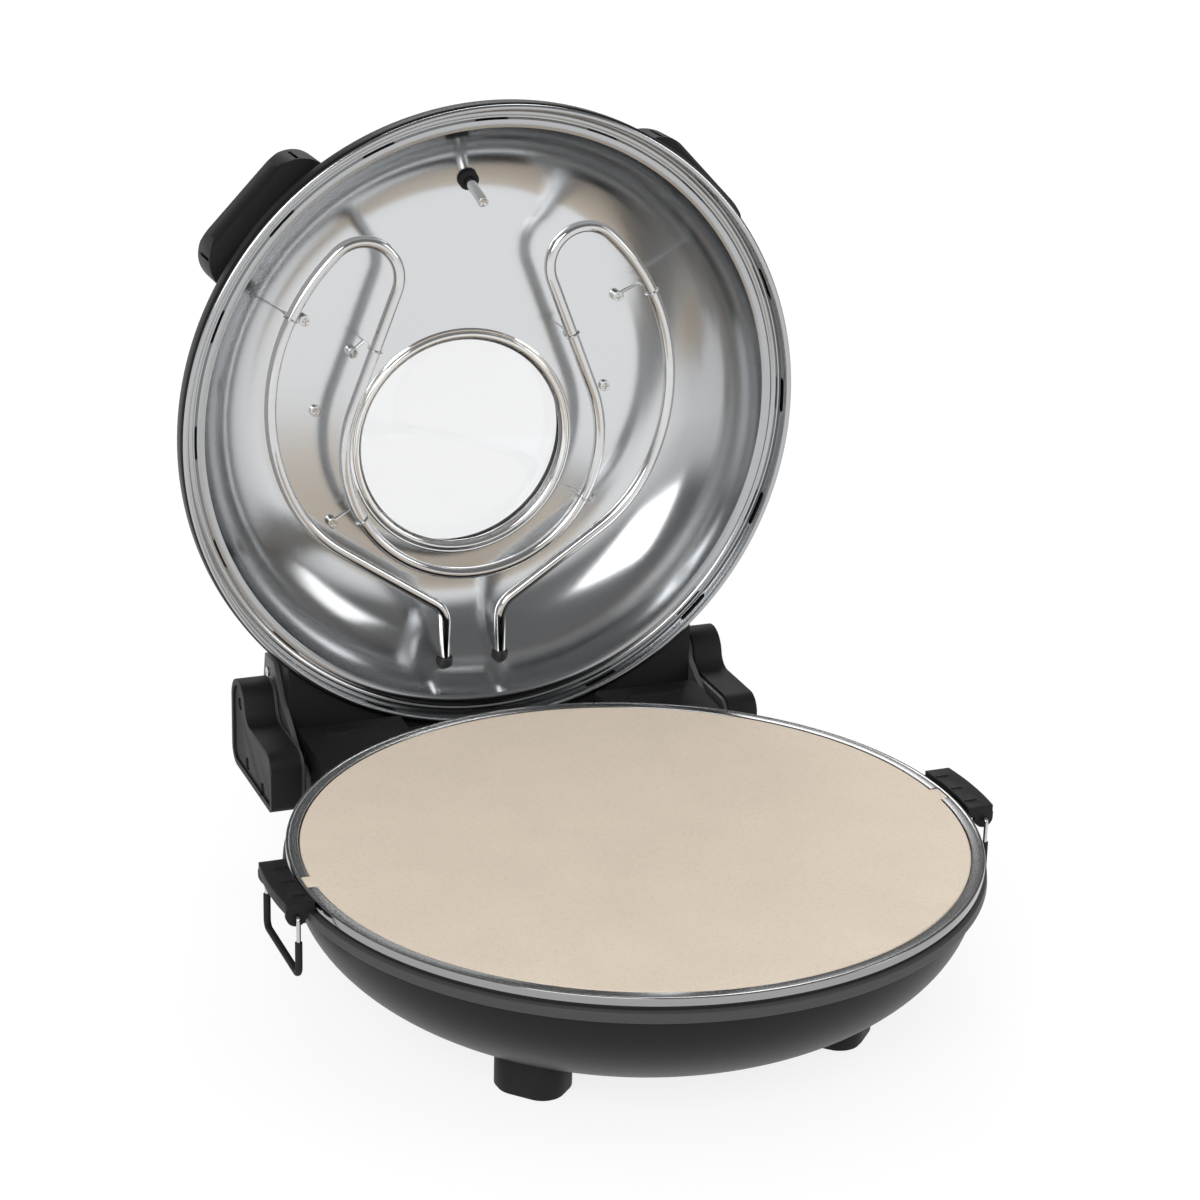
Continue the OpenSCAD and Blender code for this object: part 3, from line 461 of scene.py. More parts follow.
def group_node(tree, maker, vector, **values):
    if maker.__name__ not in GROUPS:
        GROUPS[maker.__name__] = maker()
    node = tree.nodes.new("ShaderNodeGroup")
    node.node_tree = GROUPS[maker.__name__]
    tree.links.new(vector, node.inputs["Vector"])
    for key, value in values.items():
        node.inputs[key.replace("_", " ")].default_value = value
    return node


def painted_shade_wall(tree, vector, shown, inner, outer, share):
    """Painted shade: multiplies a colour by 1 inside the inner radius and by the share outside the outer one."""
    flat = tree.nodes.new("ShaderNodeVectorMath")
    flat.operation = "MULTIPLY"
    flat.inputs[1].default_value = (1, 1, 0)
    length = tree.nodes.new("ShaderNodeVectorMath")
    length.operation = "LENGTH"
    fade = tree.nodes.new("ShaderNodeMapRange")
    for key, value in (("From Min", inner), ("From Max", outer), ("To Min", 1.0), ("To Max", share)):
        fade.inputs[key].default_value = value
    product = tree.nodes.new("ShaderNodeVectorMath")
    product.operation = "MULTIPLY"
    wire(tree, (vector, flat.inputs[0]), (flat.outputs["Vector"], length.inputs[0]),
         (length.outputs["Value"], fade.inputs["Value"]), (shown, product.inputs[0]),
         (fade.outputs["Result"], product.inputs[1]))
    return product.outputs["Vector"]


def speckled(tree, vector, shown, scale, size, colour, strength):
    """A colour with specks over it, and the mask of the specks."""
    dots = group_node(tree, speck_group, vector, Scale=scale, Size=size)
    mix = tree.nodes.new("ShaderNodeMix")
    mix.data_type = "RGBA"
    mix.inputs["B"].default_value = (*colour, 1)
    wire(tree, (maths(tree, "MULTIPLY", dots.outputs["Mask"], strength), mix.inputs["Factor"]),
         (shown, mix.inputs["A"]))
    return mix.outputs["Result"], dots.outputs["Mask"]


def in_frame_of(tree, vector, matrix):
    """The vector as the given frame sees it."""
    mapping = tree.nodes.new("ShaderNodeMapping")
    mapping.vector_type = "TEXTURE"
    mapping.inputs["Location"].default_value = matrix.to_translation()
    mapping.inputs["Rotation"].default_value = matrix.to_euler()
    tree.links.new(vector, mapping.inputs["Vector"])
    return mapping.outputs["Vector"]


def surface(name, colour, metallic=0.0, rough=(0.4, 0.5), tint=0.12, scale=900.0, slow=14.0,
            bump=0.1, specular=0.5, coat=0.0, specks=None, about=None, wall_shade=None, glass_ior=None):
    """A material with grain and slow unevenness, and with specks or painted shade on the outer wall if asked for.
    """
    relief_depth, coat_rough, pore_depth = 0.0002, 0.2, 0.6
    mat = bpy.data.materials.new(name)
    mat.use_nodes = True
    tree = mat.node_tree
    bsdf = tree.nodes["Principled BSDF"]
    vector = tree.nodes.new("ShaderNodeTexCoord").outputs["Object"]
    if about is not None:
        vector = in_frame_of(tree, vector, about)
    grain = group_node(tree, grain_group, vector, Scale=scale, Slow_scale=slow)
    fine, broad = grain.outputs["Grain"], grain.outputs["Slow"]
    both = maths(tree, "ADD", maths(tree, "MULTIPLY", fine, 0.5), maths(tree, "MULTIPLY", broad, 0.5))
    mix = tree.nodes.new("ShaderNodeMix")
    mix.data_type = "RGBA"
    mix.inputs["A"].default_value = (*[c * (1 - tint) for c in colour], 1)
    mix.inputs["B"].default_value = (*[min(1, c * (1 + tint)) for c in colour], 1)
    tree.links.new(both, mix.inputs["Factor"])
    shown = mix.outputs["Result"]
    if specks:
        shown, mask = speckled(tree, vector, shown, *specks)
        fine = maths(tree, "SUBTRACT", fine, maths(tree, "MULTIPLY", mask, pore_depth))
    # painted shade: the colour is darkened outside the given radius
    if wall_shade:
        shown = painted_shade_wall(tree, vector, shown, *wall_shade)
    relief = tree.nodes.new("ShaderNodeBump")
    wire(tree, (shown, bsdf.inputs["Base Color"]),
         (spread(tree, both, *rough), bsdf.inputs["Roughness"]),
         (fine, relief.inputs["Height"]), (relief.outputs["Normal"], bsdf.inputs["Normal"]))
    for node, settings in ((relief, {"Strength": bump, "Distance": relief_depth}), (bsdf, {
            "Metallic": metallic, "Specular IOR Level": specular,
            "Coat Weight": coat, "Coat Roughness": coat_rough})):
        for key, value in settings.items():
            node.inputs[key].default_value = value
    if glass_ior:
        bsdf.inputs["Transmission Weight"].default_value = 1.0
        bsdf.inputs["IOR"].default_value = glass_ior
    return mat


def finish_table():
    """What surface() is given for each material slot."""
    colours = bpy.context.scene.pizza_colours
    lid = lid_matrix(bpy.context.scene.pizza_sizes)
    return {
        "black_enamel": dict(
            colour=colours.black, rough=(0.34, 0.46), tint=0.15, scale=700, bump=0.12, specular=0.22),
        "band_paint": dict(
            colour=colours.band, rough=(0.42, 0.54), tint=0.1, scale=800, bump=0.12, specular=0.3),
        "black_plastic": dict(
            colour=colours.plastic, rough=(0.46, 0.6), tint=0.15, scale=1500, bump=0.3, specular=0.22),
        "black_rubber": dict(
            colour=(0.013, 0.013, 0.013), rough=(0.62, 0.78), scale=1200, bump=0.25, specular=0.3),
        "rim_steel": dict(
            colour=(0.33, 0.33, 0.33), rough=(0.1, 0.18), tint=0.04, bump=0.012, scale=1400, metallic=1.0),
        "zinc_sheet": dict(
            colour=(0.6, 0.6, 0.59), rough=(0.28, 0.42), scale=160, bump=0.05, metallic=1.0),
        # the reflector's dome wall gets painted shade: its colour falls to 0.68 of itself beyond 0.136 m from the
        # lid's axis
        "reflector_sheet": dict(
            colour=colours.sheet, rough=(0.13, 0.2), tint=0.04, scale=1800, bump=0.05, slow=7,
            about=lid, wall_shade=(0.118, 0.136, 0.68), metallic=1.0),
        "stone": dict(
            colour=colours.stone, rough=(0.75, 0.92), tint=0.07, scale=380, slow=26, bump=0.5,
            specular=0.25, specks=(620, 0.2, (0.5, 0.41, 0.31), 0.55)),
        "tube_steel": dict(
            colour=(0.64, 0.64, 0.64), rough=(0.04, 0.08), tint=0.06, scale=500, bump=0.03, metallic=1.0),
        "screw_steel": dict(
            colour=(0.6, 0.6, 0.59), rough=(0.1, 0.2), scale=900, bump=0.05, metallic=1.0),
        "dark_screw": dict(
            colour=(0.1, 0.1, 0.1), rough=(0.3, 0.42), scale=900, bump=0.1, metallic=0.6),
        "wire_chrome": dict(
            colour=(0.55, 0.55, 0.55), rough=(0.06, 0.13), tint=0.04, scale=700, bump=0.03, metallic=1.0),
        "bright_ring": dict(
            colour=(0.8, 0.8, 0.79), rough=(0.06, 0.12), tint=0.04, scale=700, bump=0.03, metallic=1.0),
        "hinge_steel": dict(colour=(0.07, 0.07, 0.072), rough=(0.4, 0.52), scale=800, bump=0.12),
        "white_ceramic": dict(colour=(0.82, 0.8, 0.75), rough=(0.5, 0.65), scale=600, bump=0.15),
        "dark_ceramic": dict(colour=(0.02, 0.02, 0.02), rough=(0.4, 0.55), scale=700, bump=0.15),
        "window_glass": dict(
            colour=(0.93, 0.935, 0.94), rough=(0.0, 0.015), tint=0.01, bump=0.01, slow=9.0,
            glass_ior=1.47),
        "insulation": dict(
            colour=(0.72, 0.7, 0.63), rough=(0.85, 0.98), scale=240, bump=0.9, tint=0.2, specular=0.1),
        "red_lamp": dict(colour=(0.5, 0.02, 0.012), rough=(0.1, 0.18), scale=400, bump=0.05, coat=0.6),
    }


FINISHES = {}


def finish_of(name):
    if name not in FINISHES:
        FINISHES[name] = surface(name, **finish_table()[name])
    return FINISHES[name]


# ---------- outlines shared by several pieces ----------


def bulge(flat, full, low, high, out=0.0, steps=56, fullness=0.6):
    """Points from the flat of a pressed bowl to its full radius, as radius and height."""
    outwards = out if low > high else -out
    points = []
    for i in range(steps + 1):
        t = math.cos(i * math.pi / 2 / steps)
        points.append((
            flat + (full - flat + out) * (1 - t * t) ** fullness,
            high + (low - high + outwards) * t))
    return points


def arc(cx, cy, r, a0, a1, steps):
    """Points on a circle, in degrees."""
    out = []
    for k in range(steps + 1):
        a = math.radians(a0 + (a1 - a0) * k / steps)
        out.append((cx + r * math.cos(a), cy + r * math.sin(a)))
    return out


def mm(points):
    return [(x * MM, y * MM) for x, y in points]


# ---------- base ----------


class PIZZA_OT_bowl(bpy.types.Operator):
    """Pressed black bowl and the dark grey band under the rim"""

    bl_idname = "pizza.bowl"
    bl_label = "Bowl and band"

    def execute(self, context):
        s = context.scene.pizza_sizes
        wall, band_drop, lip_drop = 1.0 * MM, 13 * MM, 7.5 * MM
        top, lip = s.rim_height - band_drop, s.rim_height - lip_drop
        bottom = top - s.bowl_height
        outer = bulge(s.bowl_flat, s.bowl_radius, bottom, top)
        inner = bulge(s.bowl_flat, s.bowl_radius, bottom, top, out=-wall)
        outline = [(0, bottom)] + outer + [(s.bowl_radius, lip), (s.bowl_radius - wall, lip)]
        outline += inner[::-1] + [(0, bottom + wall)]
        bowl = turned("bowl_shell", outline)
        vent_size, vent_pitch, vent_y, vent_z = (3 * MM, 22 * MM, 8 * MM), 9 * MM, -19 * MM, 6 * MM
        for k in range(-4, 5):
            cut(bowl, block("vent_cut", (k * vent_pitch, vent_y, vent_z), vent_size))
        smooth(bowl)
        place(settle(bowl), "base", ["base_bowl"], "black_enamel")

        band_top_drop, fit = 6.6 * MM, 0.05
        r, z = s.rim_radius / MM, (s.rim_height - band_top_drop) / MM
        r_in = s.bowl_radius / MM + fit
        outline = rounded(mm([
            (r_in, z - 1.3), (r_in, z), (r - 0.8, z), (r + 1.2, z - 0.9), (r + 1.6, z - 5.2),
            (r + 0.6, z - 6.1), (r_in, z - 6.1), (r_in, z - 5), (r, z - 4.8), (r + 0.2, z - 1.6),
            (r - 1, z - 1.1), (r_in + 1.1, z - 1.1)]), 0.5 * MM)
        band = turned("bowl_rolled_band", outline)
        place(settle(band), "base", ["bowl_band"], "black_enamel", "band_paint")
        return {"FINISHED"}


TAB_TURNS = (0, 180)
TAB_SIZE = (7.6 * MM, 12 * MM, 2.4 * MM)
NOTCH_SIZE = (9 * MM, 13 * MM, 12 * MM)


def tab_block(name, location, size, degrees):
    """Block with rounded edges, turned round the base's axis."""
    tab = block(name, location, size)
    use(tab, "BEVEL", width=0.7 * MM, segments=3, limit_method="ANGLE")
    return turn_round(tab, math.radians(degrees))


class PIZZA_OT_rim(bpy.types.Operator):
    """Steel rim round the stone, with notches for the stone's tabs"""

    bl_idname = "pizza.rim"
    bl_label = "Rim"

    def execute(self, context):
        s = context.scene.pizza_sizes
        gap, drop, gauge = 0.6, 4.5, 0.8
        r, z, r_in = s.rim_radius / MM, s.rim_height / MM, s.stone_radius / MM + gap
        foot = z - drop
        outline = rounded(mm([
            (r_in, foot), (r_in, z - 0.2), (r - 1.9, z - 0.2), (r - 1.4, z), (r, z), (r, foot),
            (r - 2.4, foot), (r - 2.4, foot + gauge), (r - gauge, foot + gauge), (r - gauge, z - 1.2),
            (r_in + gauge, z - 1.2), (r_in + gauge, foot + gauge), (r_in + 2.2, foot + gauge),
            (r_in + 2.2, foot)]), 0.55 * MM)
        rim = turned("steel_rim", outline, steps=FINE_STEPS)
        place_at = (s.stone_radius + gap * MM, 0, s.rim_height)
        for degrees in TAB_TURNS:
            cut(rim, tab_block("tab_cut", place_at, NOTCH_SIZE, degrees))
        smooth(rim, 24)
        place(settle(rim), "base", ["rim_ring"], "rim_steel")
        return {"FINISHED"}


class PIZZA_OT_stone(bpy.types.Operator):
    """Baking stone with its two locating tabs"""

    bl_idname = "pizza.stone"
    bl_label = "Baking stone"

    def execute(self, context):
        s = context.scene.pizza_sizes
        below_rim, thickness = 0.3 * MM, 12 * MM
        r, top = s.stone_radius, s.rim_height - below_rim
        foot = top - thickness
        stone = turned("sand_stone", [
            (0, foot), (r - 1.5 * MM, foot), (r - 0.7 * MM, foot + 0.8 * MM), (r, top - 0.6 * MM),
            (r - 0.6 * MM, top), (0, top)], steps=FINE_STEPS)
        place_at = (r + 0.8 * MM, 0, top - TAB_SIZE[2] / 2)
        for degrees in TAB_TURNS:
            tab = tab_block("stone_tab", place_at, TAB_SIZE, degrees)
            use(stone, "BOOLEAN", operation="UNION", object=tab, solver="EXACT")
            bpy.data.objects.remove(tab)
        smooth(stone, 24)
        place(settle(stone), "base", ["baking_stone"], "stone")
        return {"FINISHED"}


class PIZZA_OT_feet(bpy.types.Operator):
    """Four feet under the bowl"""

    bl_idname = "pizza.feet"
    bl_label = "Feet"

    def execute(self, context):
        place(from_node("feet", "round_feet", 0.6 * MM, 40), "base", ["feet"], "black_plastic")
        return {"FINISHED"}


class PIZZA_OT_clips(bpy.types.Operator):
    """Side plates with their wire bails and sleeves"""

    bl_idname = "pizza.clips"
    bl_label = "Side clips"

    def execute(self, context):
        s = context.scene.pizza_sizes
        x, half, reach = 182.5 * MM, 27.8 * MM, 29.7 * MM
        bend, corner = 4 * MM, 1.6 * MM
        axis_z, sleeve_top = s.rim_height - 5.3 * MM, s.rim_height - 17.6 * MM
        low = axis_z - reach
        turns = {"left": -1, "right": 1}
        for side, sign in turns.items():
            plate = from_node("clip_plate_" + side, "side_plate_" + side, 0.35 * MM, 40)
            place(plate, "base", ["clip_plate_" + side], "black_plastic")
            for part, radius, top, tail, slot_name in (
                    ("wire", 1.1 * MM, axis_z, 7.4 * MM, "wire_chrome"),
                    ("sleeve", 1.8 * MM, sleeve_top, 0, "black_rubber")):
                drop = top - low - bend
                moves, start, heading = [], (sign * x, -half, top), (0, 0, -1)
                if tail:
                    start, heading = (sign * x, -half + tail, top), (0, -1, 0)
                    moves += [((0, -(tail - corner), 0),),
                              ((sign * x, -half + corner, top - corner), (1, 0, 0), 90)]
                    drop -= corner
                moves += [((0, 0, -drop),), ((sign * x, -half + bend, low + bend), (1, 0, 0), 90),
                          ((0, 2 * (half - bend), 0),),
                          ((sign * x, half - bend, low + bend), (1, 0, 0), 90),
                          ((0, 0, drop),)]
                if tail:
                    moves += [((sign * x, half - corner, top - corner), (1, 0, 0), 90),
                              ((0, -(tail - corner), 0),)]
                piece = tube("bail_%s_on_%s" % (part, side), start, heading, radius, moves, sides=20)
                place(settle(piece), "bail_" + side, ["bail_%s_%s" % (part, side)], slot_name)
        return {"FINISHED"}


class PIZZA_OT_hinge(bpy.types.Operator):
    """Cheeks, cover, yoke and cable box on the base, arms and block on the lid"""

    bl_idname = "pizza.hinge"
    bl_label = "Hinge"

    def execute(self, context):
        for node, width, body, slot_name in (
                ("hinge_cheek_left", 1.1, "base", "black_plastic"),
                ("hinge_cheek_right", 1.1, "base", "black_plastic"),
                ("hinge_cover", 0.8, "base", "black_plastic"),
                ("hinge_yoke", 0.3, "base", "hinge_steel"),
                ("cable_box", 0.8, "base", "black_plastic"),
                ("lid_hinge_block", 0.8, "lid", "black_plastic"),
                ("hinge_arm_left", 0.5, "lid", "hinge_steel"),
                ("hinge_arm_right", 0.5, "lid", "hinge_steel")):
            place(from_node(node, node + "_piece", width * MM, 34, 3), body, [node], slot_name)
        return {"FINISHED"}


# ---------- lid ----------


class PIZZA_OT_lid_shell(bpy.types.Operator):
    """Black outer shell of the lid"""

    bl_idname = "pizza.lid_shell"
    bl_label = "Lid shell"

    def execute(self, context):
        s = context.scene.pizza_sizes
        r, full, flat, band, wall, hole_r = s.rim_radius / MM, 170.0, 100.0, 13.0, 1.0, 62.8
        depth = s.shell_depth / MM
        outer = bulge(flat, full, depth, band)
        inner = bulge(flat, full, depth, band, out=-wall)
        outline = [(0, depth)] + outer + [
            (full + 0.5, band), (r - 1, 12), (r + 0.6, 10.6), (r + 0.8, 9.8), (r + 0.8, 3.2),
            (r + 0.5, 2.1), (r, 1.6), (r - 0.9, 1.6), (r - 0.2, 3.2), (r - 0.2, 9.6),
            (r - 1.8, 11.2), (full - 0.5, 12.2)]
        outline += inner[::-1] + [(0, depth - wall)]
        shell = turned("lid_outer_shell", mm(outline))
        cut(shell, disc("window_cut", hole_r * MM, 0.1, (0, s.window_offset, s.shell_depth), 128))
        smooth(shell)
        raise_lid_piece(shell, s)
        place(shell, "lid", ["lid_shell"], "black_enamel")
        return {"FINISHED"}


class PIZZA_OT_reflector(bpy.types.Operator):
    """Pressed reflector: panel, dome wall, rippled flange, slotted skirt and rolled edge"""

    bl_idname = "pizza.reflector"
    bl_label = "Reflector"

    def execute(self, context):
        s = context.scene.pizza_sizes
        depth, gauge, flange, drawn_r = s.panel_depth / MM, 0.8, 9.5, 174
        c, cr = (s.dome_radius - s.dome_round) / MM, s.dome_round / MM
        cd = depth - cr
        r = s.rim_radius / MM
        down = math.degrees(math.asin((flange - cd) / cr))
        wall = arc(c, cd, cr, 90, down, 40)
        back = arc(c, cd, cr + gauge, 90, down, 40)
        ripple = [(160.9, 9.05), (162.2, 8.65), (163.6, 8.35), (164.4, 8.35), (165.0, 8.8), (165.6, 9.35),
                  (166.3, 9.25), (167, 8.75), (167.8, 8.55), (168.6, 8.7), (169.2, 9.35), (169.8, 9.8),
                  (170.4, 9.6), (170.6, 9.1), (170.6, 1.6)]
        bead = [(170.75, 0.95), (171.2, 0.35), (171.8, 0.05), (172.5, 0), (173.1, 0.1), (173.6, 0.45),
                (173.8, 0.9), (173.8, 1.5), (173.1, 1.5), (172.7, 1.0), (172.2, 0.8), (171.7, 1.0),
                (171.4, 1.6), (171.4, 10.4), (170.9, 10.6), (169.2, 10.6), (168.2, 9.4), (167.2, 9.5),
                (165.6, 10.3), (164.2, 9.2), (162.4, 9.5)]
        outline = [(0, depth)] + wall + [(q[0] - drawn_r + r, q[1]) for q in ripple + bead]
        outline += back[::-1] + [(0, depth + gauge)]
        sheet = turned("pressed_reflector", mm(outline), steps=FINE_STEPS)
        tools = [disc("window_cut", s.window_radius, 0.02, (0, s.window_offset, s.panel_depth), 160)]
        slot_size, slot_in, slot_z, slot_round = (6 * MM, 19.5 * MM, 4.4 * MM), 3, 5.6, 2.1
        for k in range(s.slots):
            slot = block("slot_cut", ((r - slot_in) * MM, 0, slot_z * MM), slot_size)
            bevel_along_x(slot, slot_round * MM, 5)
            tools.append(turn_round(slot, math.tau * k / s.slots))
        cut(sheet, *tools)
        smooth(sheet, 26)
        raise_lid_piece(sheet, s)
        place(sheet, "lid", ["lid_reflector"], "reflector_sheet")
        return {"FINISHED"}


class PIZZA_OT_window(bpy.types.Operator):
    """Rolled bright ring, two panes and the collar outside"""

    bl_idname = "pizza.window"
    bl_label = "Window"

    def execute(self, context):
        s = context.scene.pizza_sizes
        r, d, at = s.window_radius / MM, s.panel_depth / MM, (0, s.window_offset)
        outline = [(r + 6.4, d - 0.05), (r + 6.3, d - 0.7), (r + 5.6, d - 1.1), (r + 5.0, d - 1.0)]
        outline += arc(r + 2.9, d + 0.6, 2.7, 318, 205, 14)
        outline += [(r - 0.3, d + 0.2), (r - 0.5, d + 0.8), (r - 0.5, d + 1.2), (r - 0.1, d + 1.2),
                    (r - 0.1, d - 0.05)]
        ring = turned("window_rolled_ring", mm(outline), axis_at=at)
        raise_lid_piece(ring, s)
        place(ring, "lid", ["window_frame"], "bright_ring")
        edge = 0.4
        for name, node, radius, low, thick in (
                ("inner_pane", "window_glass_inner", r + 2.6, d + 2.05, 3.2),
                ("outer_pane", "window_glass_outer", 66, s.shell_depth / MM + 0.85, 3)):
            outline = arc(radius - edge, low + edge, edge, -90, 0, 4)
            outline += arc(radius - edge, low + thick - edge, edge, 0, 90, 4)
            outline += [(0, low + thick), (0, low)]
            pane = turned(name, mm(outline), steps=128, axis_at=at)
            raise_lid_piece(pane, s)
            place(pane, "lid", [node], "window_glass")
        d = s.shell_depth / MM
        outline = rounded(mm([
            (66.2, d + 0.05), (71.2, d + 0.05), (71.2, d + 2.4), (69.6, d + 4.6), (66, d + 5.2),
            (61.4, d + 5), (60.6, d + 3.9), (66.2, d + 3.9)]), 0.8 * MM)
        collar = turned("window_outer_collar", outline, axis_at=at)
        raise_lid_piece(collar, s)
        place(collar, "lid", ["window_bezel"], "black_plastic")
        return {"FINISHED"}


class PIZZA_OT_heater(bpy.types.Operator):
    """Bent heating tube in the lid"""

    bl_idname = "pizza.heater"
    bl_label = "Heating tube"

    def execute(self, context):
        s = context.scene.pizza_sizes
        # the route runs in x and in distance towards the lid's front
        end_x, big, side_r, loop_r, end_r, ring_r = 16.5, 116.0, 85.0, 21.0, 14.0, 74.5
        big_c, ring_c = Vector((0, 5)), Vector((0, -23.5))
        a0, a1 = 132.5, 205.0
        bend_y, tail_y, half_turn = -125.9, 153, 180

        def at(c, r, a):
            return c + Vector((math.cos(math.radians(a)), math.sin(math.radians(a)))) * r

        end_c = Vector((-end_x - end_r, bend_y))
        side_c, loop_c = at(big_c, big - side_r, a1), at(big_c, big - loop_r, a0)
        v = end_c - side_c
        side_a = 2 * half_turn + math.degrees(math.atan2(v.y, v.x) - math.acos((side_r + end_r) / v.length))
        v = loop_c - ring_c
        ring_a = 2 * half_turn + math.degrees(math.atan2(v.y, v.x) + math.acos((loop_r + ring_r) / v.length))
        half = [
            (Vector((0, end_c.y + tail_y)),),
            (end_c, side_a - half_turn),
            (at(side_c, side_r, side_a) - at(end_c, end_r, side_a - half_turn),),
            (side_c, a1 - side_a), (big_c, a0 - a1), (loop_c, ring_a - 3 * half_turn - a0),
            (at(ring_c, ring_r, ring_a) - at(loop_c, loop_r, ring_a - half_turn),),
        ]
        other = []
        for move in half[::-1]:
            if len(move) == 1:
                other.append((Vector((move[0].x, -move[0].y)),))
            else:
                other.append((Vector((-move[0].x, move[0].y)), move[1]))
        turn = 3 * half_turn - 2 * (ring_a - 2 * half_turn)
        z = s.heater_depth
        moves = []
        for move in half + [(ring_c, turn)] + other:
            if len(move) == 1:
                moves.append(((move[0].x * MM, -move[0].y * MM, 0),))
            else:
                moves.append(((move[0].x * MM, -move[0].y * MM, z), (0, 0, -1), move[1]))
        start = (-end_x * MM, tail_y * MM, z)
        bar = tube("heating_tube", start, (0, -1, 0), s.tube_radius, moves, sides=32)
        raise_lid_piece(bar, s)
        place(bar, "lid", ["upper_heater"], "tube_steel")
        return {"FINISHED"}


class PIZZA_OT_lid_fittings(bpy.types.Operator):
    """Handles, controls, wire clips, bushings, probe and their small parts"""

    bl_idname = "pizza.lid_fittings"
    bl_label = "Lid fittings"

    def execute(self, context):
        for node, width, body, slot_name in (
                ("handle_left", 1.2, "lid", "black_plastic"),
                ("handle_right", 1.2, "lid", "black_plastic"),
                ("control_box", 1.0, "lid", "black_plastic"),
                ("control_knob", 0.5, "knob", "black_plastic"),
                ("indicator_lamps", 0.0, "lid", "red_lamp"),
                ("heater_clips", 0.0, "lid", "wire_chrome"),
                ("heater_bushings", 0.4, "lid", "dark_ceramic"),
                ("probe", 0.5, "lid", "screw_steel"),
                ("probe_grommet", 0.3, "lid", "black_rubber"),
                ("heater_clip_screws", 0.5, "lid", "screw_steel"),
                ("reflector_screws", 0.5, "lid", "screw_steel")):
            place(from_node(node, node + "_piece", width * MM, 38, 3), body, [node], slot_name)
        return {"FINISHED"}


class PIZZA_OT_inner_parts(bpy.types.Operator):
    """Materials of the CAD nodes that are shown as they are"""

    bl_idname = "pizza.inner_parts"
    bl_label = "Inner parts"

    def execute(self, context):
        slots = {p["node"]: p["material_slot"] for p in frame["record"]["subparts"]}
        for name, obj in frame["nodes"].items():
            if not obj.hide_render:
                obj.data.materials.clear()
                obj.data.materials.append(finish_of(slots[name]))
        return {"FINISHED"}


# ---------- stage ----------


CAMERA_ANGLES = (-21.6745, 20.6495, 1.5594)  # azimuth, elevation and roll, in degrees
CAMERA_AT = (-0.5629, BASE_Y - 1.3598, 0.7662)
CAMERA_LENS = 97.13
LOOK_AT = (0, 0.05, 0.15)
LAMPS = (
    ("key_light", (-1.6, -2.2, 1.7), LOOK_AT, (1.9, 1.5), 44),
    ("fill_light", (2.3, -1.3, 1.2), LOOK_AT, (0.8, 1.2), 9),
    ("back_light", (0.6, 2.4, 2.0), (0, 0.1, 0.2), (1.6, 1.0), 20),
)


def soft_lamp(name, at, look, size, power):
    deselect()
    bpy.ops.object.light_add(type="AREA", location=at)
    lamp = bpy.context.object
    lamp.name = name
    lamp.data.shape = "RECTANGLE"
    lamp.data.size, lamp.data.size_y = size
    lamp.data.energy = power
    lamp.rotation_euler = (Vector(look) - Vector(at)).to_track_quat("-Z", "Y").to_euler()


def seen_directly(tree, path):
    """1 for rays from the camera or through glass."""
    return maths(tree, "MAXIMUM", path.outputs["Is Camera Ray"], path.outputs["Is Transmission Ray"])


def floor_finish():
    """Pale floor that keeps the shadow and reads as white to the camera, in glass and in metal."""
    grey, rough, low_gloss, in_metal, glow_share, glow_strength = 0.84, 0.9, 0.1, 0.9, 0.74, 1.12
    mat = bpy.data.materials.new("studio_floor")
    mat.use_nodes = True
    tree = mat.node_tree
    bsdf = tree.nodes["Principled BSDF"]
    bsdf.inputs["Base Color"].default_value = (grey, grey, grey, 1)
    bsdf.inputs["Roughness"].default_value = rough
    bsdf.inputs["Specular IOR Level"].default_value = low_gloss
    glow = tree.nodes.new("ShaderNodeEmission")
    glow.inputs["Strength"].default_value = glow_strength
    path = tree.nodes.new("ShaderNodeLightPath")
    seen = maths(tree, "MAXIMUM", seen_directly(tree, path),
                 maths(tree, "MULTIPLY", path.outputs["Is Glossy Ray"], in_metal))
    mix = tree.nodes.new("ShaderNodeMixShader")
    wire(tree, (maths(tree, "MULTIPLY", seen, glow_share), mix.inputs[0]),
         (bsdf.outputs[0], mix.inputs[1]), (glow.outputs[0], mix.inputs[2]),
         (mix.outputs[0], tree.nodes["Material Output"].inputs[0]))
    return mat


def studio_world():
    """White to the camera, plain to matt surfaces, and dark above the horizon in metal."""
    dimmed = -0.38
    greys = ((0.1, 0.85), (0.28, 0.2))
    world = bpy.data.worlds.new("studio")
    world.use_nodes = True
    tree = world.node_tree
    back = tree.nodes["Background"]
    path = tree.nodes.new("ShaderNodeLightPath")
    seen = seen_directly(tree, path)
    coords = tree.nodes.new("ShaderNodeTexCoord")
    parts = tree.nodes.new("ShaderNodeSeparateXYZ")
    ramp = tree.nodes.new("ShaderNodeValToRGB")
    stops = ramp.color_ramp.elements
    stops[0].position, stops[0].color = 0.0, (0.95, 0.95, 0.95, 1)
    stops[1].position, stops[1].color = 1.0, (0.22, 0.22, 0.22, 1)
    for where, grey in greys:
        stops.new(where).color = (grey, grey, grey, 1)
    strength = maths(tree, "ADD", maths(tree, "MULTIPLY", path.outputs["Is Diffuse Ray"], dimmed), 1.0)
    strength = maths(tree, "MAXIMUM", strength, seen)
    white = tree.nodes.new("ShaderNodeMix")
    white.data_type = "RGBA"
    white.inputs["B"].default_value = (1, 1, 1, 1)
    plain = maths(tree, "MAXIMUM", seen, path.outputs["Is Diffuse Ray"])
    wire(tree, (coords.outputs["Generated"], parts.inputs[0]), (parts.outputs["Z"], ramp.inputs[0]),
         (plain, white.inputs["Factor"]), (ramp.outputs[0], white.inputs["A"]),
         (white.outputs["Result"], back.inputs["Color"]), (strength, back.inputs["Strength"]))
    return world


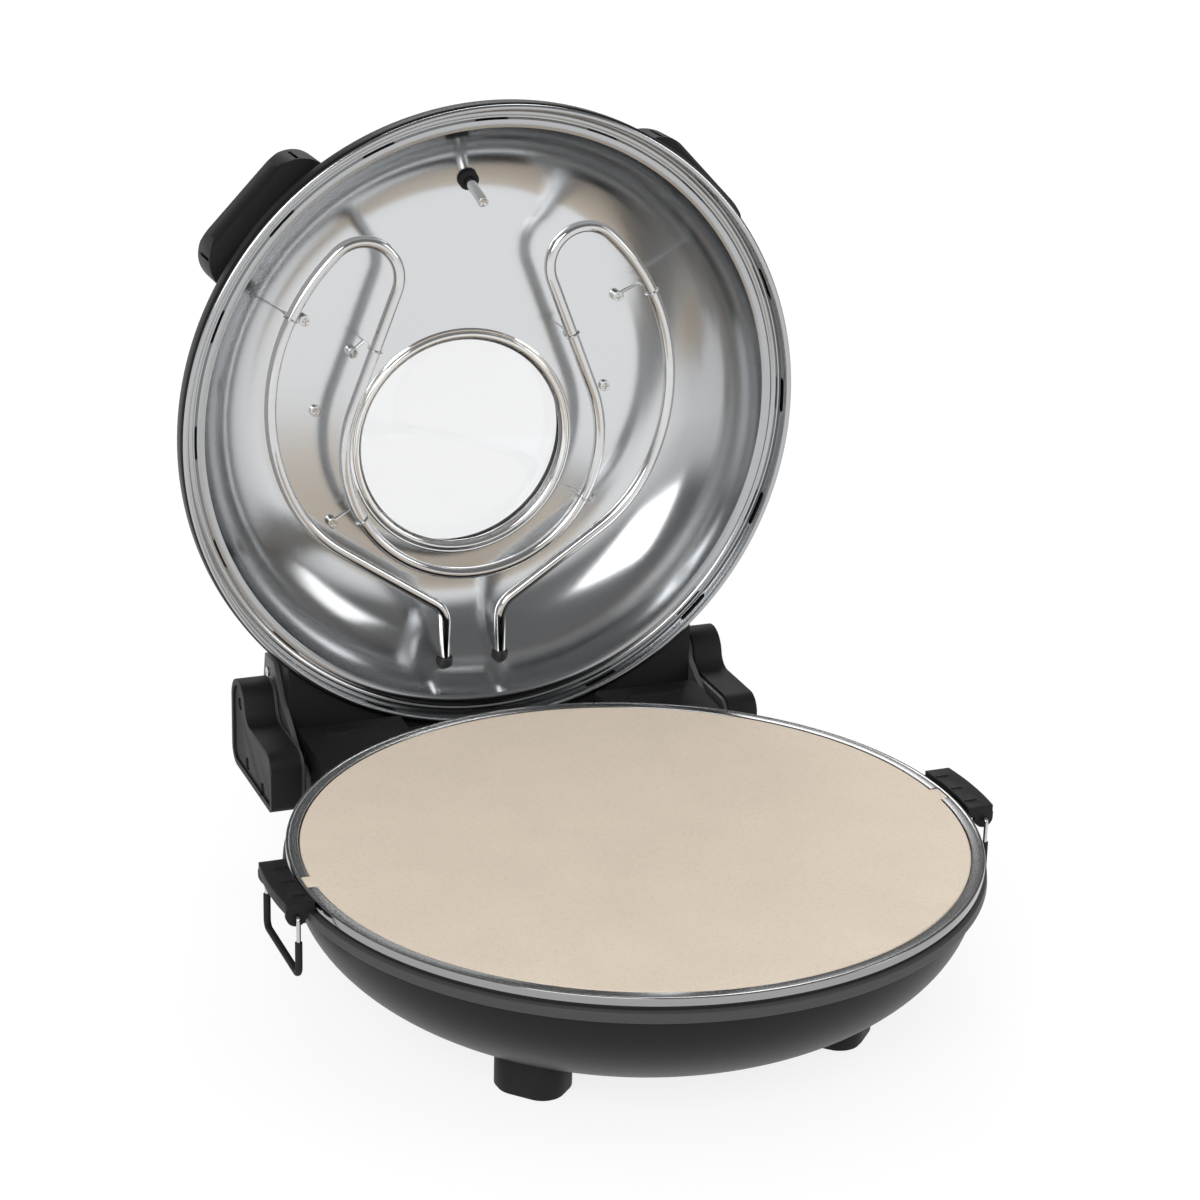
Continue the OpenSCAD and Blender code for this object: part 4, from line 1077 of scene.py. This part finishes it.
def photo_camera():
    """Camera at the photograph's place, fitted to the rim and lid circles."""
    azimuth, elevation, roll = (math.radians(a) for a in CAMERA_ANGLES)
    back_dir = Vector((math.cos(elevation) * math.sin(azimuth),
                       -math.cos(elevation) * math.cos(azimuth), math.sin(elevation)))
    right = (-back_dir).cross(Vector((0, 0, 1))).normalized()
    up = right.cross(-back_dir)
    turned_right = right * math.cos(roll) + up * math.sin(roll)
    turned_up = -right * math.sin(roll) + up * math.cos(roll)
    bpy.ops.object.camera_add(location=CAMERA_AT)
    camera = bpy.context.object
    camera.name = "photo_camera"
    camera.rotation_euler = Matrix((turned_right, turned_up, back_dir)).transposed().to_euler()
    camera.data.lens = CAMERA_LENS
    camera.data.sensor_width = 36
    camera.data.clip_start = 0.05
    return camera


class PIZZA_OT_stage(bpy.types.Operator):
    """Floor, soft light and camera"""

    bl_idname = "pizza.stage"
    bl_label = "Stage"

    def execute(self, context):
        deselect()
        bpy.ops.mesh.primitive_plane_add(size=16, location=(0, 0, -0.0002))
        floor = new_piece("studio_floor")
        floor.data.materials.append(floor_finish())
        context.scene.world = studio_world()
        for lamp in LAMPS:
            soft_lamp(*lamp)
        context.scene.camera = photo_camera()
        context.scene.view_settings.view_transform = "Standard"
        return {"FINISHED"}


# ---------- panel and registration ----------

STEPS = (
    PIZZA_OT_bowl, PIZZA_OT_rim, PIZZA_OT_stone, PIZZA_OT_feet, PIZZA_OT_clips, PIZZA_OT_hinge,
    PIZZA_OT_lid_shell, PIZZA_OT_reflector, PIZZA_OT_window, PIZZA_OT_heater, PIZZA_OT_lid_fittings,
    PIZZA_OT_inner_parts, PIZZA_OT_stage,
)


class PIZZA_PT_panel(bpy.types.Panel):
    """Sizes, colours and steps of the pizza maker"""

    bl_idname = "PIZZA_PT_panel"
    bl_label = "Pizza maker"
    bl_space_type = "VIEW_3D"
    bl_region_type = "UI"
    bl_category = "Pizza maker"

    def draw(self, context):
        for group in (context.scene.pizza_sizes, context.scene.pizza_colours):
            for key in group.__annotations__:
                self.layout.prop(group, key)
        for step in STEPS:
            self.layout.operator(step.bl_idname)


CLASSES = (PizzaSizes, PizzaColours, *STEPS, PIZZA_PT_panel)


def register():
    for cls in CLASSES:
        bpy.utils.register_class(cls)
    bpy.types.Scene.pizza_sizes = PointerProperty(type=PizzaSizes)
    bpy.types.Scene.pizza_colours = PointerProperty(type=PizzaColours)


def unregister():
    del bpy.types.Scene.pizza_sizes
    del bpy.types.Scene.pizza_colours
    for cls in reversed(CLASSES):
        bpy.utils.unregister_class(cls)


def main():
    register()
    for step in STEPS:
        group, name = step.bl_idname.split(".")
        getattr(getattr(bpy.ops, group), name)()


if __name__ == "__main__":
    main()
